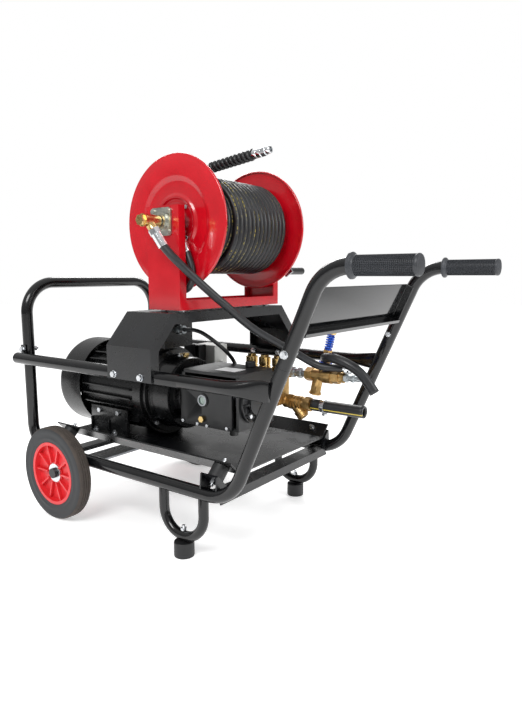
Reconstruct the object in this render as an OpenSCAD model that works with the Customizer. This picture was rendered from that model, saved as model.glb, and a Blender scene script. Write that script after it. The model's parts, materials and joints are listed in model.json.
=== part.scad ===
// Electric drain jetting machine: a two-wheel tube trolley with a motor-driven plunger pump and a hose reel.
// +X points forward to the handles, +Y to the reel's crank side, +Z up. The origin is on the ground at the middle.

/* [Frame] */
// Outer diameter of the frame tubes
tube_d = 32; // [28:1:34]
// Wall of the frame tubes
tube_wall = 2.5; // [1.5:0.5:3]
// Distance from the middle plane to each side frame
track_y = 247; // [245:1:250]
// Height of the lower rails
rail_z = 171; // [168:1:174]
// Slope of the front tubes above the ground, degrees
slant = 66; // [65:1:67]
// Forward position of the joint between frame and handle tube
joint_x = 319; // [316:1:322]
// Height of that joint
joint_z = 489; // [486:1:492]
// Height of the handles
handle_z = 692; // [688:1:696]
// Forward end of the grips
grip_end_x = 601; // [596:1:606]
// Height of the rear hoop
hoop_z = 654; // [645:1:660]
// Height of the middle rails
middle_z = 438; // [436:1:440]

/* [Wheels and feet] */
// Wheel radius
wheel_r = 130; // [125:1:133]
// Tyre width
wheel_w = 40; // [36:1:42]
// Position of the axle along the machine
axle_x = -420; // [-425:1:-415]
// Position of the feet along the machine
foot_x = 29; // [25:1:33]
// Height of the rubber feet
foot_h = 38; // [34:1:40]

/* [Motor and pump] */
// Sideways offset of the motor and pump axis
drive_y = -40; // [-41:1:-39]
// Height of the motor axis above the tray
shaft_h = 132; // [132:1:133]
// Height of the tray floor
tray_z = 218; // [217:1:218]
// Spacing of the plungers and valve caps
plunger_pitch = 45; // [44:1:45]

/* [Reel] */
// Position of the reel axis along the machine
reel_x = -68; // [-72:1:-64]
// Height of the reel axis
reel_z = 802; // [800:1:806]
// Radius of the reel discs
disc_r = 165.5; // [160:0.5:168]
// Outer radius of the wound hose
winding_r = 125; // [120:1:128]
// Diameter of the wound hose
hose_d = 17; // [16:1:18]

/* [Hidden] */
$fn = 64;

far = 900; // longer than anything that is cut
tube_r = tube_d / 2;
tube_bore = tube_r - tube_wall;
lean = 1 / tan(slant); // forward step of a front tube for each millimetre it rises
front_corner_x = joint_x - (joint_z - rail_z) * lean;
top_corner_x = joint_x + (handle_z - joint_z) * lean;
lower_bend_r = 101;
handle_bend_r = 90;
rear_bend_r = 71;
rear_x = -585;
hoop_r = 90;
upright_top = hoop_z - hoop_r;
bolt_d = 8;
bolt_hole = 8.6;
joint_bolt_z = joint_z + 29;
spigot_len = 55;
middle_y = track_y + tube_d + 0.2;
middle_rear_x = -594;
middle_round_x = 60; // the rail starts to flatten here
blade_x = 259; // and is flat here
rail_tab_z = middle_z + 24;
grip_r = 20;
grip_len = 134;
grip_x = grip_end_x - grip_len;

wheel_y = 266; // inner face of the wheels
axle_r = 10;
rim_r = 88;
hub_r = 30;
loop_leg = 65;
loop_r = 12.5;
loop_z = foot_h + 0.5 + loop_r;

tray_rear = -501;
tray_front = 157;
tray_t = 4;
mount_xs = [116, -455];
mount_r = 20;
mount_len = 35;
flange_mid = [205.25, 231.75]; // middle of the tray's sloping flange, outwards and up

drive_z = tray_z + shaft_h;
motor_rear = -466;
motor_front = -236;
motor_r = 112;
bell_front = -129;
fan_rear = -571;
fan_len = 112;
fan_r = 131;
fan_round = 30;
fan_t = 3;
case_rear = -108;
case_front = 84;
case_near = -100;
case_far = 55;
case_low = 283;
case_top = 420;
plunger_x = 21; // the middle plunger
plunger_z = 352;
plunger_r = 9;
line_y = 116; // the outlet line
outlet_z = 410;
inlet_y = 110;
inlet_r = 16;
clamp_x = 200;
port_tilt = 12;
inlet_z = 328;
valve_x = 199;
valve_tilt = 12;

table_x = -90;
table_w = 154;
table_top = 585.5;
table_t = 3;
table_half = 231;
leg_y = 300;
leg_fold_z = 508;
leg_low_z = 427;
leg_bolt_xs = [-142, -48];
stand_gap = 5;
stand_w = 108;
stand_t = 4;
stand_near = -198;
stand_far = 212;
stand_top = 840;
stand_flange = 22;
disc_near = -151;
disc_far = 169;
core_r = 58;
shaft_r = 13;
crank_y = 224;
crank_dx = 79;
crank_dz = -116;
crank_tip = 304;

// Routes of the hoses and the lead, along their middles
feed_route = [
    [-35, -231, 745], [-17, -222, 722], [0, -210, 701], [18, -188, 673], [35, -162, 645], [47, -138, 622],
    [58, -112, 600], [68, -84, 576], [78, -54, 552], [88, -25, 532], [101, 6, 513], [123, 36, 492],
    [152, 62, 470], [180, 78, 451], [206, 88, 439], [234, 100, 436], [260, 110, 435], [284, 116, 434],
];
bypass_route = [
    [212, 104, 459], [219, 94, 462], [229, 86, 464], [242, 80, 465], [256, 77, 464], [271, 76, 461],
    [287, 76, 456], [303, 77, 449], [318, 79, 440], [332, 81, 428], [344, 83, 414], [355, 84, 400], [365, 85, 386],
];
cable_route = [
    [-154, -40, 525], [-140, -40, 526], [-122, -38, 526], [-100, -31, 520], [-80, -20, 506], [-64, -4, 488],
    [-54, 16, 468], [-52, 38, 448], [-58, 60, 430], [-72, 82, 416], [-92, 100, 409], [-114, 112, 408],
    [-134, 121, 408], [-153, 124, 408],
];
whip_start = [-84, -60, 935.8]; // the hose's free end leaves the winding here
whip_rise = 7; // and rises this many degrees
whip_len = 194;
guard_from = 62; // the spiral guard starts this far along it

// ---- shared shapes ----

// A box between two corners
module box(a, b) translate(a) cube(b - a);

// A cylinder along X, Y or Z from a point
module rod_x(p, r, len) translate(p) rotate([0, 90, 0]) cylinder(r = r, h = len);
module rod_y(p, r, len) translate(p) rotate([-90, 0, 0]) cylinder(r = r, h = len);
module rod_z(p, r, len) translate(p) cylinder(r = r, h = len);

// A hexagon along an axis, across its corners
module hex_x(p, r, len) translate(p) rotate([0, 90, 0]) cylinder(r = r, h = len, $fn = 6);
module hex_y(p, r, len) translate(p) rotate([-90, 0, 0]) cylinder(r = r, h = len, $fn = 6);
module hex_z(p, r, len) translate(p) cylinder(r = r, h = len, $fn = 6);

// Puts the children on the right side as they are, and on the left side mirrored
module on_side(side) mirror([0, side < 0 ? 1 : 0, 0]) children();
module both_sides() for (side = [-1, 1]) on_side(side) children();

function unit(v) = v / norm(v);
function heading(v) = atan2(v[1], v[0]);
function turn(u, v) = atan2(u[0] * v[1] - u[1] * v[0], u * v);

// A bent tube in the XY plane through the corners pts, with one bend radius for each inner corner
module bent_tube(pts, radii, r, bore) {
    n = len(pts);
    dirs = [for (i = [0:n - 2]) unit(pts[i + 1] - pts[i])];
    turns = [for (i = [1:n - 2]) turn(dirs[i - 1], dirs[i])];
    cuts = [0, for (i = [0:n - 3]) radii[i] * tan(abs(turns[i]) / 2), 0];
    for (i = [0:n - 2])
        let (a = pts[i] + cuts[i] * dirs[i], b = pts[i + 1] - cuts[i + 1] * dirs[i])
            translate([a[0], a[1], 0]) rotate([0, 0, heading(dirs[i])]) rotate([0, 90, 0]) difference() {
                cylinder(r = r, h = norm(b - a));
                cylinder(r = bore, h = norm(b - a));
            }
    for (i = [1:n - 2])
        let (a = pts[i] - cuts[i] * dirs[i - 1], bend = turns[i - 1])
            translate([a[0], a[1], 0]) rotate([0, 0, heading(dirs[i - 1])]) mirror([0, bend > 0 ? 0 : 1, 0])
                translate([0, radii[i - 1], 0]) rotate([0, 0, -90]) rotate_extrude(angle = abs(bend))
                    translate([radii[i - 1], 0]) difference() {
                        circle(r = r);
                        circle(r = bore);
                    }
}

// Stands a shape drawn in the XY plane up in the XZ plane
module stand_up() rotate([90, 0, 0]) children();

// The slanted front tube's axis, as a place and direction for what is cut or bolted there
module along_slant(z) translate([joint_x + (z - joint_z) * lean, 0, z]) rotate([0, 90 - slant, 0]) children();

// A swept hose through the points of a route
function cross3(a, b) = cross(a, b);
function route_dir(p, i) =
    unit(i == 0 ? p[1] - p[0] : i == len(p) - 1 ? p[i] - p[i - 1] : unit(p[i + 1] - p[i]) + unit(p[i] - p[i - 1]));
function ring(p, i, r, sides) =
    let (d = route_dir(p, i), s = unit(cross3(d, [0.13, 0.2, 1])), t = cross3(d, s))
        [for (k = [0:sides - 1]) p[i] + r * (cos(360 * k / sides) * s + sin(360 * k / sides) * t)];
module hose(p, r, sides = 10) {
    n = len(p);
    points = [for (i = [0:n - 1]) each ring(p, i, r, sides)];
    walls = [for (i = [0:n - 2]) for (k = [0:sides - 1])
        let (a = i * sides + k, b = i * sides + (k + 1) % sides)
            each [[a, a + sides, b], [b, a + sides, b + sides]]];
    near_cap = [for (k = [1:sides - 2]) [0, k, k + 1]];
    last = (n - 1) * sides;
    far_cap = [for (k = [1:sides - 2]) [last, last + k + 1, last + k]];
    polyhedron(points = points, faces = concat(walls, near_cap, far_cap));
}

// ---- trolley frame ----

module side_tube(side) color("#16171a") difference() {
    union() {
        on_side(side) translate([0, track_y, 0]) stand_up() bent_tube(
            [[rear_x, upright_top], [rear_x, rail_z], [front_corner_x, rail_z], [joint_x, joint_z]],
            [rear_bend_r, lower_bend_r], tube_r, tube_bore);
        on_side(side) translate([0, track_y, 0]) along_slant(joint_z) translate([0, 0, -20]) difference() {
            cylinder(r = tube_bore - 0.1, h = spigot_len + 20);
            translate([0, 0, -1]) cylinder(r = tube_bore - 2.5, h = spigot_len + 22);
        }
    }
    on_side(side) joint_bolt_hole();
    on_side(side) rod_y([rear_x, track_y - 30, rail_tab_z], bolt_hole / 2, 60);
}
module side_tube_left() side_tube(-1);
module side_tube_right() side_tube(1);

module joint_bolt_hole() rod_y([joint_x + (joint_bolt_z - joint_z) * lean, track_y - 30, joint_bolt_z], bolt_hole / 2, 60);

module rear_hoop() color("#16171a") translate([rear_x, 0, 0]) rotate([90, 0, 90]) bent_tube(
    [[-track_y, upright_top], [-track_y, hoop_z], [track_y, hoop_z], [track_y, upright_top]],
    [hoop_r, hoop_r], tube_r, tube_bore);

// The middle rail is round, then pinched to an upright blade that is welded to the front tube
module middle_rail(side) color("#16171a") on_side(side) {
    difference() {
        union() {
            rod_x([middle_rear_x, middle_y, middle_z], tube_r, middle_round_x - middle_rear_x);
            box([rear_x - 9, track_y + tube_r + 0.2, middle_z], [rear_x + 13, track_y + tube_r + 4, rail_tab_z + 13]);
        }
        rod_x([middle_rear_x, middle_y, middle_z], tube_bore, middle_round_x - middle_rear_x - 10);
        for (x = leg_bolt_xs) rod_y([x, middle_y - 30, middle_z], bolt_hole / 2, 60);
        rod_y([rear_x, track_y, rail_tab_z], bolt_hole / 2, 40);
    }
    difference() {
        union() {
            hull() {
                rod_x([middle_round_x, middle_y, middle_z], tube_r, 1, $fn = 32);
                box([blade_x, middle_y - 6, middle_z - 23], [blade_x + 1, middle_y + 5, middle_z + 23]);
            }
            hull() {
                box([blade_x, middle_y - 6, middle_z - 23], [blade_x + 1, middle_y + 5, middle_z + 23]);
                box([blade_x + 34, middle_y - 17, middle_z - 22], [blade_x + 38, middle_y - 9, middle_z + 22]);
            }
        }
        translate([0, track_y, 0]) along_slant(middle_z) translate([0, 0, -80]) cylinder(r = tube_r + 0.1, h = 160);
    }
}
module middle_rail_left() middle_rail(-1);
module middle_rail_right() middle_rail(1);

module handle_tube(side) color("#16171a") difference() {
    on_side(side) translate([0, track_y, 0]) stand_up() bent_tube(
        [[grip_end_x - 5, handle_z], [top_corner_x, handle_z], [joint_x + 0.3 * lean, joint_z + 0.3]],
        [handle_bend_r], tube_r, tube_bore);
    on_side(side) joint_bolt_hole();
}
module handle_tube_left() handle_tube(-1);
module handle_tube_right() handle_tube(1);

module grip(side) color("#26272a") on_side(side) difference() {
    union() {
        rod_x([grip_x, track_y, handle_z], grip_r, grip_len);
        rod_x([grip_x, track_y, handle_z], grip_r + 5, 6);
    }
    rod_x([grip_x, track_y, handle_z], tube_r + 0.05, grip_len - 4.5);
}
module grip_left() grip(-1);
module grip_right() grip(1);

panel_low = 546;
panel_high = 646;
panel_back = -13;
panel_front = 12;
panel_half = track_y - tube_r - 0.5;
module handle_panel() color("#1c1d20") {
    // the sheet, its lower lip and its two end flanges
    rise = (panel_high - panel_low) / sin(slant);
    along_slant(panel_low) {
        box([panel_back, -panel_half, 12], [panel_back + 3, panel_half, rise]);
        box([panel_back, -panel_half, 9], [panel_front, panel_half, 12]);
        box([panel_front - 3, -panel_half, 12], [panel_front, panel_half, 18]);
        for (side = [-1, 1]) box([panel_back + 3, side * panel_half - 1.5 - side * 1.5, 12],
            [panel_front - 3, side * panel_half + 1.5 - side * 1.5, rise]);
    }
}

// ---- fasteners ----

// A hexagon bolt along +Y through a stack: head below y0, nut above y1
module through_bolt(x, z, y0, y1, r = bolt_d / 2) {
    rod_y([x, y0 - 1.5, z], r * 2.2, 1.5);
    hex_y([x, y0 - 7.5, z], r * 1.9, 6);
    rod_y([x, y0, z], r, y1 - y0 + 12);
    difference() {
        hex_y([x, y1, z], r * 1.9, 7);
        rod_y([x, y1, z], r, 7);
    }
}

module machine_bolts() color("#c9cbce") {
    mirror([0, 1, 0]) both_sides() {
        through_bolt(joint_x + (joint_bolt_z - joint_z) * lean, joint_bolt_z, -track_y - tube_r, -track_y + tube_r);
        for (x = leg_bolt_xs) through_bolt(x, middle_z, -leg_y, -middle_y + tube_r);
        through_bolt(rear_x, rail_tab_z, -track_y - tube_r - 4, -track_y + tube_r);
        // foot bolts, up through each loop
        translate([foot_x, -track_y, 0]) {
            rod_z([0, 0, 8], 4, loop_z + loop_r + 6);
            difference() {
                hex_z([0, 0, loop_z + loop_r + 1], 7.6, 7);
                rod_z([0, 0, loop_z + loop_r + 1], 4, 7);
            }
        }
    }
    // reel stand on its table
    for (x = [reel_x - 30, reel_x + 30], y = [stand_near + 30, stand_far - 30]) {
        hex_z([x, y, table_top + stand_gap + stand_t], 7.6, 6);
        rod_z([x, y, table_top - table_t - 8], 4, table_t + stand_gap + stand_t + 8);
        rod_z([x, y, table_top], 9, stand_gap);
    }
    // crankcase cover screws
    for (p = cover_screws) rod_y([p[0], case_near - 10.5, p[1]], 4.5, 3.5);
    // motor flange screws
    for (a = [45:90:315])
        hex_x([motor_front + 42, drive_y + 111 * cos(a), drive_z + 111 * sin(a)], 6.8, 6);
    // bearing cover screws
    for (a = [45:90:315])
        rod_x([case_front + 13, drive_y + 42 * cos(a), drive_z + 42 * sin(a)], 5, 4);
    // lifting bolt on the bell housing
    rod_z([-174, drive_y, drive_z + 100], 8, 3);
    hex_z([-174, drive_y, drive_z + 103], 7.6, 6);
    // motor foot screws, sideways into the housing and down into the tray
    for (x = [-397, -316]) {
        hex_y([x, drive_y - 108 - 6, 286], 7.6, 6);
        hex_y([x, drive_y + 108, 286], 7.6, 6);
        for (side = [-1, 1]) {
            hex_z([x, drive_y + side * 124, tray_z + 8], 8.5, 8);
            rod_z([x, drive_y + side * 124, tray_z - tray_t - 8], 4.5, tray_t + 30);
        }
    }
}

// ---- cross members, axle and feet ----

module rail_cutter() both_sides() rod_x([-far, track_y, rail_z], tube_r, 2 * far);

module cross_members() color("#1a1b1e") {
    difference() {
        union() {
            // front angle with a lip turned down
            box([96, -240, rail_z - 2], [142, 240, rail_z + 2]);
            box([138, -240, rail_z - 20], [142, 240, rail_z - 2]);
            // two rear angles
            for (x = [-475, -370]) {
                box([x, -240, rail_z - 2], [x + 40, 240, rail_z + 2]);
                box([x, -240, rail_z - 24], [x + 4, 240, rail_z - 2]);
            }
            // inclined seats of the rubber mounts on two webs each
            both_sides() for (x = mount_xs) mount_seat(x);
        }
        rail_cutter();
        both_sides() for (x = mount_xs) on_mount(x) rod_z([0, 0, -mount_len - 30], 4.3, 40);
        both_sides() translate([0, track_y, 0]) translate([front_corner_x - lower_bend_r * tan(slant / 2), 0, rail_z + lower_bend_r])
            rotate([90, 0, 0]) rotate([0, 0, -90]) rotate_extrude(angle = 60) translate([lower_bend_r, 0]) circle(r = tube_r);
    }
    // axle hangers
    both_sides() difference() {
        box([axle_x - 24, track_y - 4, wheel_r - 16], [axle_x + 24, track_y + 4, rail_z]);
        rod_y([axle_x, track_y - 10, wheel_r], axle_r + 0.05, 20);
        rod_x([-far, track_y, rail_z], tube_r, 2 * far);
    }
}

// Frame of a rubber mount: its origin on the flange's underside, its axis square to the flange
module on_mount(x) translate([x, flange_mid[0], flange_mid[1]]) rotate([45, 0, 0]) translate([0, 0, -tray_t / 2]) children();

module mount_seat(x) {
    on_mount(x) box([-26, -25, -mount_len - 4], [26, 25, -mount_len]);
    for (dx = [-26, 22])
        translate([x + dx, 0, 0]) rotate([90, 0, 90]) linear_extrude(4)
            polygon([[216, 185], [252, 221], [256, 180], [240, 168], [222, 176]]);
}

module axle() color("#8d9095") {
    rod_y([axle_x, -296, wheel_r], axle_r, 592);
    both_sides() {
        // washer outside the hub, and the end cap
        difference() {
            rod_y([axle_x, 292.5, wheel_r], 26, 2);
            rod_y([axle_x, 292, wheel_r], axle_r, 4);
        }
        difference() {
            rod_y([axle_x, 294.6, wheel_r], 14, 8);
            rod_y([axle_x, 294, wheel_r], axle_r, 2);
        }
    }
}

module foot_loops() color("#16171a") both_sides() difference() {
    translate([0, track_y, 0]) stand_up() bent_tube(
        [[foot_x - loop_leg, rail_z], [foot_x - loop_leg, loop_z], [foot_x + loop_leg, loop_z],
            [foot_x + loop_leg, rail_z]],
        [loop_leg - 3, loop_leg - 3], loop_r, loop_r - 2);
    rod_x([-far, track_y, rail_z], tube_r, 2 * far);
    rod_z([foot_x, track_y, 0], 4.4, 100);
}

module rubber_feet() color("#232427") both_sides() difference() {
    rod_z([foot_x, track_y, 0], 25, foot_h);
    rod_z([foot_x, track_y, 6], 4.4, foot_h);
}

// ---- tray and mounts ----

module tray() color("#1b1c1e") difference() {
    translate([tray_rear, 0, tray_z]) rotate([90, 0, 90]) linear_extrude(tray_front - tray_rear)
        polygon([[-190.3, -tray_t], [190.3, -tray_t], [222.4, 28.1], [219.6, 30.9], [188.7, 0], [-188.7, 0],
            [-219.6, 30.9], [-222.4, 28.1]]);
    both_sides() for (x = mount_xs) on_mount(x) rod_z([0, 0, -2], 4.3, 20);
    for (x = [-397, -316], side = [-1, 1]) rod_z([x, drive_y + side * 124, tray_z - 20], 4.8, 40);
}

module rubber_mounts() color("#1d1e20") both_sides() for (x = mount_xs) on_mount(x) difference() {
    rod_z([0, 0, -mount_len], mount_r, mount_len);
    rod_z([0, 0, -mount_len - 1], 4.3, mount_len + 2);
}

module mount_studs() color("#c4c6c9") both_sides() for (x = mount_xs) on_mount(x) {
    rod_z([0, 0, -mount_len - 17], 4, mount_len + tray_t + 34);
    difference() {
        union() {
            hex_z([0, 0, tray_t], 7.6, 7);
            hex_z([0, 0, -mount_len - 11], 7.6, 7);
        }
        rod_z([0, 0, -mount_len - 20], 4, mount_len + 60);
    }
}

// ---- motor ----

module on_drive() translate([0, drive_y, drive_z]) children();

module motor_housing() color("#151618") on_drive() {
    difference() {
        union() {
            rod_x([motor_rear, 0, 0], motor_r, motor_front - motor_rear);
            // cooling fins, left out at the foot pads and under the terminal box
            for (a = [-54:12:234]) if (abs(a - 90) > 32 && abs(a - 210) > 3 && abs(a + 30) > 3)
                rotate([a, 0, 0]) box([motor_rear + 12, motor_r - 4, -2], [motor_front - 12, motor_r + 13, 2]);
            // pads for the feet
            for (side = [-1, 1])
                box([-430, side * 90 - 10, -78], [-284, side * 90 + 10, -52]);
            // terminal box seat
            box([-286, -50, motor_r - 14], [motor_front, 50, motor_r + 14]);
        }
        rod_x([motor_rear, 0, 0], 98, motor_front - motor_rear);
    }
    // rear end shield with its bearing seat
    difference() {
        rod_x([motor_rear - 8, 0, 0], motor_r, 8);
        rod_x([motor_rear - 9, 0, 0], 19.1, 10);
    }
    // front end shield and flange
    difference() {
        rod_x([motor_front, 0, 0], 125, 30);
        rod_x([motor_front - 1, 0, 0], 90, 21);
        rod_x([motor_front, 0, 0], 19.1, 31);
    }
}

module stator_core() color("#8a8c90") on_drive() difference() {
    union() {
        rod_x([-424, 0, 0], 97.9, 146);
        rod_x([-450, 0, 0], 90, 198);
    }
    rod_x([-460, 0, 0], 62.5, 220);
    for (x = [-451, -278]) rod_x([x, 0, 0], 70, 27);
}

module fan_cover() color("#17181a") on_drive() difference() {
    // a cup with a rounded rim, standing off the end shield
    translate([fan_rear, 0, 0]) rotate([0, 90, 0]) rotate_extrude($fn = 96) difference() {
        union() {
            square([fan_r - fan_round, fan_len]);
            translate([0, fan_round]) square([fan_r, fan_len - fan_round]);
            translate([fan_r - fan_round, fan_round]) circle(r = fan_round);
        }
        translate([0, fan_t]) square([fan_r - fan_round, fan_len]);
        translate([0, fan_round]) square([fan_r - fan_t, fan_len]);
        translate([fan_r - fan_round, fan_round]) circle(r = fan_round - fan_t);
    }
    // intake holes
    for (ring = [[34, 8], [50, 12], [66, 16]], i = [0:ring[1] - 1])
        rotate([360 * i / ring[1], 0, 0]) rod_x([fan_rear - 1, ring[0], 0], 5.5, 6);
}

module motor_feet() color("#141517") for (side = [-1, 1]) translate([0, drive_y, 0]) on_side(side) {
    difference() {
        union() {
            box([-436, 100, tray_z + 8], [-278, 108, 298]);
            box([-436, 100, tray_z], [-278, 142, tray_z + 8]);
            for (x = [-436, -360, -284]) box([x, 108, tray_z + 8], [x + 6, 112, 262]);
        }
        for (x = [-397, -316]) rod_z([x, 124, tray_z - 1], 4.8, 20);
    }
}

module terminal_box() {
    color("#17181a") difference() {
        box([-286, drive_y - 55, 476], [-176, drive_y + 55, 548]);
        box([-282, drive_y - 51, 480], [-180, drive_y + 51, 549]);
        rod_x([-190, drive_y, 525], 9, 20);
    }
    // lid
    color("#17181a") box([-288, drive_y - 57, 548], [-174, drive_y + 57, 554]);
    // cable gland
    color("#9a9c9e") difference() {
        union() {
            rod_x([-182, drive_y, 525], 8.9, 6);
            hex_x([-176, drive_y, 525], 14, 8);
            rod_x([-168, drive_y, 525], 11, 14);
        }
        rod_x([-183, drive_y, 525], 6.1, 40);
    }
}

module motor_cable() color("#1c1d1f") hose(cable_route, 5.5, 8);

module control_boxes() {
    // bracket plate from the motor flange
    color("#2a2b2e") box([-232, 64, 421], [-214, 68, 470]);
    color("#1b1c1e") difference() {
        box([-261, 68, 420], [-200, 98, 468]);
        box([-257, 72, 424], [-204, 98.5, 464]);
    }
    // starter box with an inlet gland for the mains lead below
    color("#c9cac8") difference() {
        box([-243, 98.5, 392], [-165, 156, 466]);
        box([-239, 102, 396], [-169, 152, 462]);
        rod_y([-204, 150, 438], 6.1, 10);
    }
    color("#2c2d30") {
        rod_x([-165, 124, 408], 9, 12);
        rod_z([-220, 128, 376], 9, 16);
    }
}

module switch_knob() color("#b5121b") {
    rod_y([-204, 152.5, 438], 6, 4);
    rod_y([-204, 156.5, 438], 15, 8);
    box([-207, 164.5, 424], [-201, 174, 452]);
}

module bell_housing() color("#18191b") on_drive() difference() {
    translate([motor_front + 30, 0, 0]) rotate([0, 90, 0]) rotate_extrude($fn = 96) polygon([
        [0, 0], [118, 0], [118, 12], [103, 12], [100, 22], [100, 71], [97, 77], [72, 77], [72, 98], [0, 98]]);
    rod_x([motor_front + 29, 0, 0], 88, 66);
    rod_x([motor_front + 29, 0, 0], 22, 120);
}

// ---- pump ----

cover_screws = [[-105 + 5, 290], [-48, 288], [-15, 287], [52, 290], [-100, 384], [52, 384]];

module crankcase() color("#1b1c1e") difference() {
    union() {
        box([case_rear, case_near, case_low], [case_front, case_far, case_top]);
        rod_z([54, case_near + 18, case_low - 15], 11, 15);
    }
    // open on the near side and at the top, where the covers close it
    box([case_rear + 10, case_near - 1, case_low + 8], [case_front - 8, case_far - 10, case_top + 1]);
    rod_x([case_rear - 1, drive_y, drive_z], 22.1, 12);
    rod_x([case_front - 9, drive_y, drive_z], 30, 10);
    for (i = [-1:1]) rod_y([plunger_x + i * plunger_pitch, case_far - 11, plunger_z], plunger_r + 0.05, 12);
    for (i = [0:3]) for (s = [0, 1])
        translate([s == 0 ? case_rear : case_front, case_far, 0]) rotate([0, 0, 45]) translate([-3, -3, case_low - 1]) cube([6, 6, 140]);
}

module crankcase_covers() color("#1d1e20") {
    // near cover, a rounded plate with two bosses
    difference() {
        union() {
            translate([0, case_near, 0]) rotate([90, 0, 0]) linear_extrude(7) hull() {
                for (p = [[-98, 293], [57, 293], [57, 386], [-98, 386]]) translate(p) circle(r = 10);
            }
            rod_y([-29, case_near - 10, 353], 18, 3);
        }
        rod_y([-29, case_near - 11, 353], 13, 12);
        rod_y([-31, case_near - 8, 303], 6.1, 9);
    }
    // front bearing cover with ribs
    difference() {
        union() {
            rod_x([case_front, drive_y, drive_z], 54, 8);
            rod_x([case_front + 8, drive_y, drive_z], 30, 8);
            for (a = [0:45:315]) on_drive() rotate([a, 0, 0]) box([case_front + 8, 28, -2], [case_front + 13, 50, 2]);
            for (a = [45:90:315]) on_drive() rod_x([case_front + 8, 42 * cos(a), 42 * sin(a)], 8, 5);
        }
        rod_x([case_front - 1, drive_y, drive_z], 20.1, 12);
    }
}

module sight_glass() color("#8fa59a") {
    rod_y([-29, case_near - 8, 353], 12.9, 6);
    difference() {
        rod_y([-29, case_near - 11.5, 353], 15, 1.5);
        rod_y([-29, case_near - 12, 353], 11, 3);
    }
}

module brass_plugs() color("#b5924a") {
    // oil drain plug
    rod_y([-31, case_near - 7, 303], 6, 6.5);
    hex_y([-31, case_near - 15, 303], 9, 8);
    // breather on the bell housing
    rod_z([-150, drive_y, drive_z + 100], 8, 4);
    hex_z([-150, drive_y, drive_z + 104], 10, 7);
}

module top_cover() {
    color("#1a1b1d") difference() {
        translate([0, 0, case_top]) linear_extrude(8) hull() {
            for (p = [[-98, -90], [74, -90], [74, 42], [-98, 42]]) translate(p) circle(r = 10);
        }
        rod_z([27, 24, case_top - 1], 10.1, 12);
    }
    // blank label
    color("#eceded") box([-24, -66, case_top + 8], [44, -18, case_top + 8.6]);
}

module oil_cap() color("#1c1c1e") {
    rod_z([27, 24, case_top - 6], 10, 15);
    rod_z([27, 24, case_top + 9], 14, 15);
}

module manifold() color("#b08d57") difference() {
    union() {
        box([-46, case_far, 322], [90, 118, 404]);
        // valve seats and the two galleries' bosses
        for (i = [-1:1]) rod_z([plunger_x + i * plunger_pitch, 98, 404], 19, 5);
        rod_x([84, line_y, outlet_z], 16, 14);
        rod_x([84, inlet_y, inlet_z], 18, 12);
    }
    for (i = [-1:1]) {
        rod_y([plunger_x + i * plunger_pitch, case_far - 1, plunger_z], plunger_r + 0.05, 50);
        rod_z([plunger_x + i * plunger_pitch, 98, plunger_z + 10], 11, 60);
    }
    rod_x([-30, inlet_y, inlet_z], 8, 130);
    rod_x([92, line_y, outlet_z], 6, 10);
}

module valve_caps() color("#b8935a") for (i = [-1:1]) translate([plunger_x + i * plunger_pitch, 98, 0]) {
    rod_z([0, 0, 392], 10.9, 17);
    rod_z([0, 0, 409], 17, 14);
    rod_z([0, 0, 423], 15, 4);
    rod_z([0, 0, 427], 17, 20);
    hex_z([0, 0, 447], 13, 7);
}

module plungers() color("#e4e2da") for (i = [-1:1])
    rod_y([plunger_x + i * plunger_pitch, case_far - 40, plunger_z], plunger_r, 84);

// The unloader's valve stem leans forward of upright
module on_valve() translate([valve_x, line_y, outlet_z]) rotate([0, valve_tilt, 0]) children();

module unloader_valve() color("#b5924a") difference() {
    union() {
        hex_x([150, line_y, outlet_z], 19, 20);
        rod_x([169, line_y, outlet_z], 16, 36);
        rod_x([204, line_y, outlet_z], 20, 24);
        hex_x([227, line_y, outlet_z], 19, 24);
        rod_x([250, line_y, outlet_z], 14, 14);
        // port that looks down and a little back
        on_port() {
            cylinder(r = 14, h = 30);
            translate([0, 0, 29]) cylinder(r = 16, h = 21, $fn = 6);
            translate([0, 0, 49]) cylinder(r = 17, h = 4);
        }
        // bonnet, hose barb and stem
        on_valve() {
            rod_z([0, 0, 8], 13, 18);
            rod_z([0, 0, 26], 14, 14);
            rod_z([0, 0, 40], 8, 24);
            hex_z([0, 0, 64], 13, 8);
            rod_z([0, 0, 60], 5, 68);
        }
        // barb of the bypass hose
        translate([valve_x + 10, line_y - 1, outlet_z + 49]) rotate([0, 88, -56]) cylinder(r = 6, h = 28);
    }
    on_port() translate([0, 0, 14]) cylinder(r = 9, h = 50);
    rod_x([145, line_y, outlet_z], 6, 12);
}
module on_port() translate([186, line_y, outlet_z]) rotate([0, 180 + port_tilt, 0]) children();

module unloader_spring() color("#1c4fb0") on_valve() difference() {
    union() {
        rod_z([0, 0, 72.2], 8.5, 42);
        for (i = [0:5]) translate([0, 0, 75 + i * 7.2]) rotate_extrude() translate([8.5, 0]) circle(r = 2.4);
    }
    rod_z([0, 0, 60], 5.2, 60);
}

module unloader_knob() color("#b5924a") on_valve() difference() {
    rod_z([0, 0, 115], 13, 18);
    rod_z([0, 0, 114], 5.05, 15);
}

module outlet_nipples() color("#aeb3b6") {
    // galvanised nipple between manifold and unloader
    rod_x([92.5, line_y, outlet_z], 5.9, 9);
    hex_x([98.2, line_y, outlet_z], 15, 14);
    rod_x([112, line_y, outlet_z], 11, 10);
    hex_x([122, line_y, outlet_z], 15, 12);
    rod_x([134, line_y, outlet_z], 10, 15.8);
    // steel coupler nipple at the free end
    hex_x([264.2, line_y, outlet_z], 12, 10);
    rod_x([274, line_y, outlet_z], 8, 12);
    rod_x([286, line_y, outlet_z], 10, 6);
    rod_x([292, line_y, outlet_z], 7, 20);
}

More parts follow.
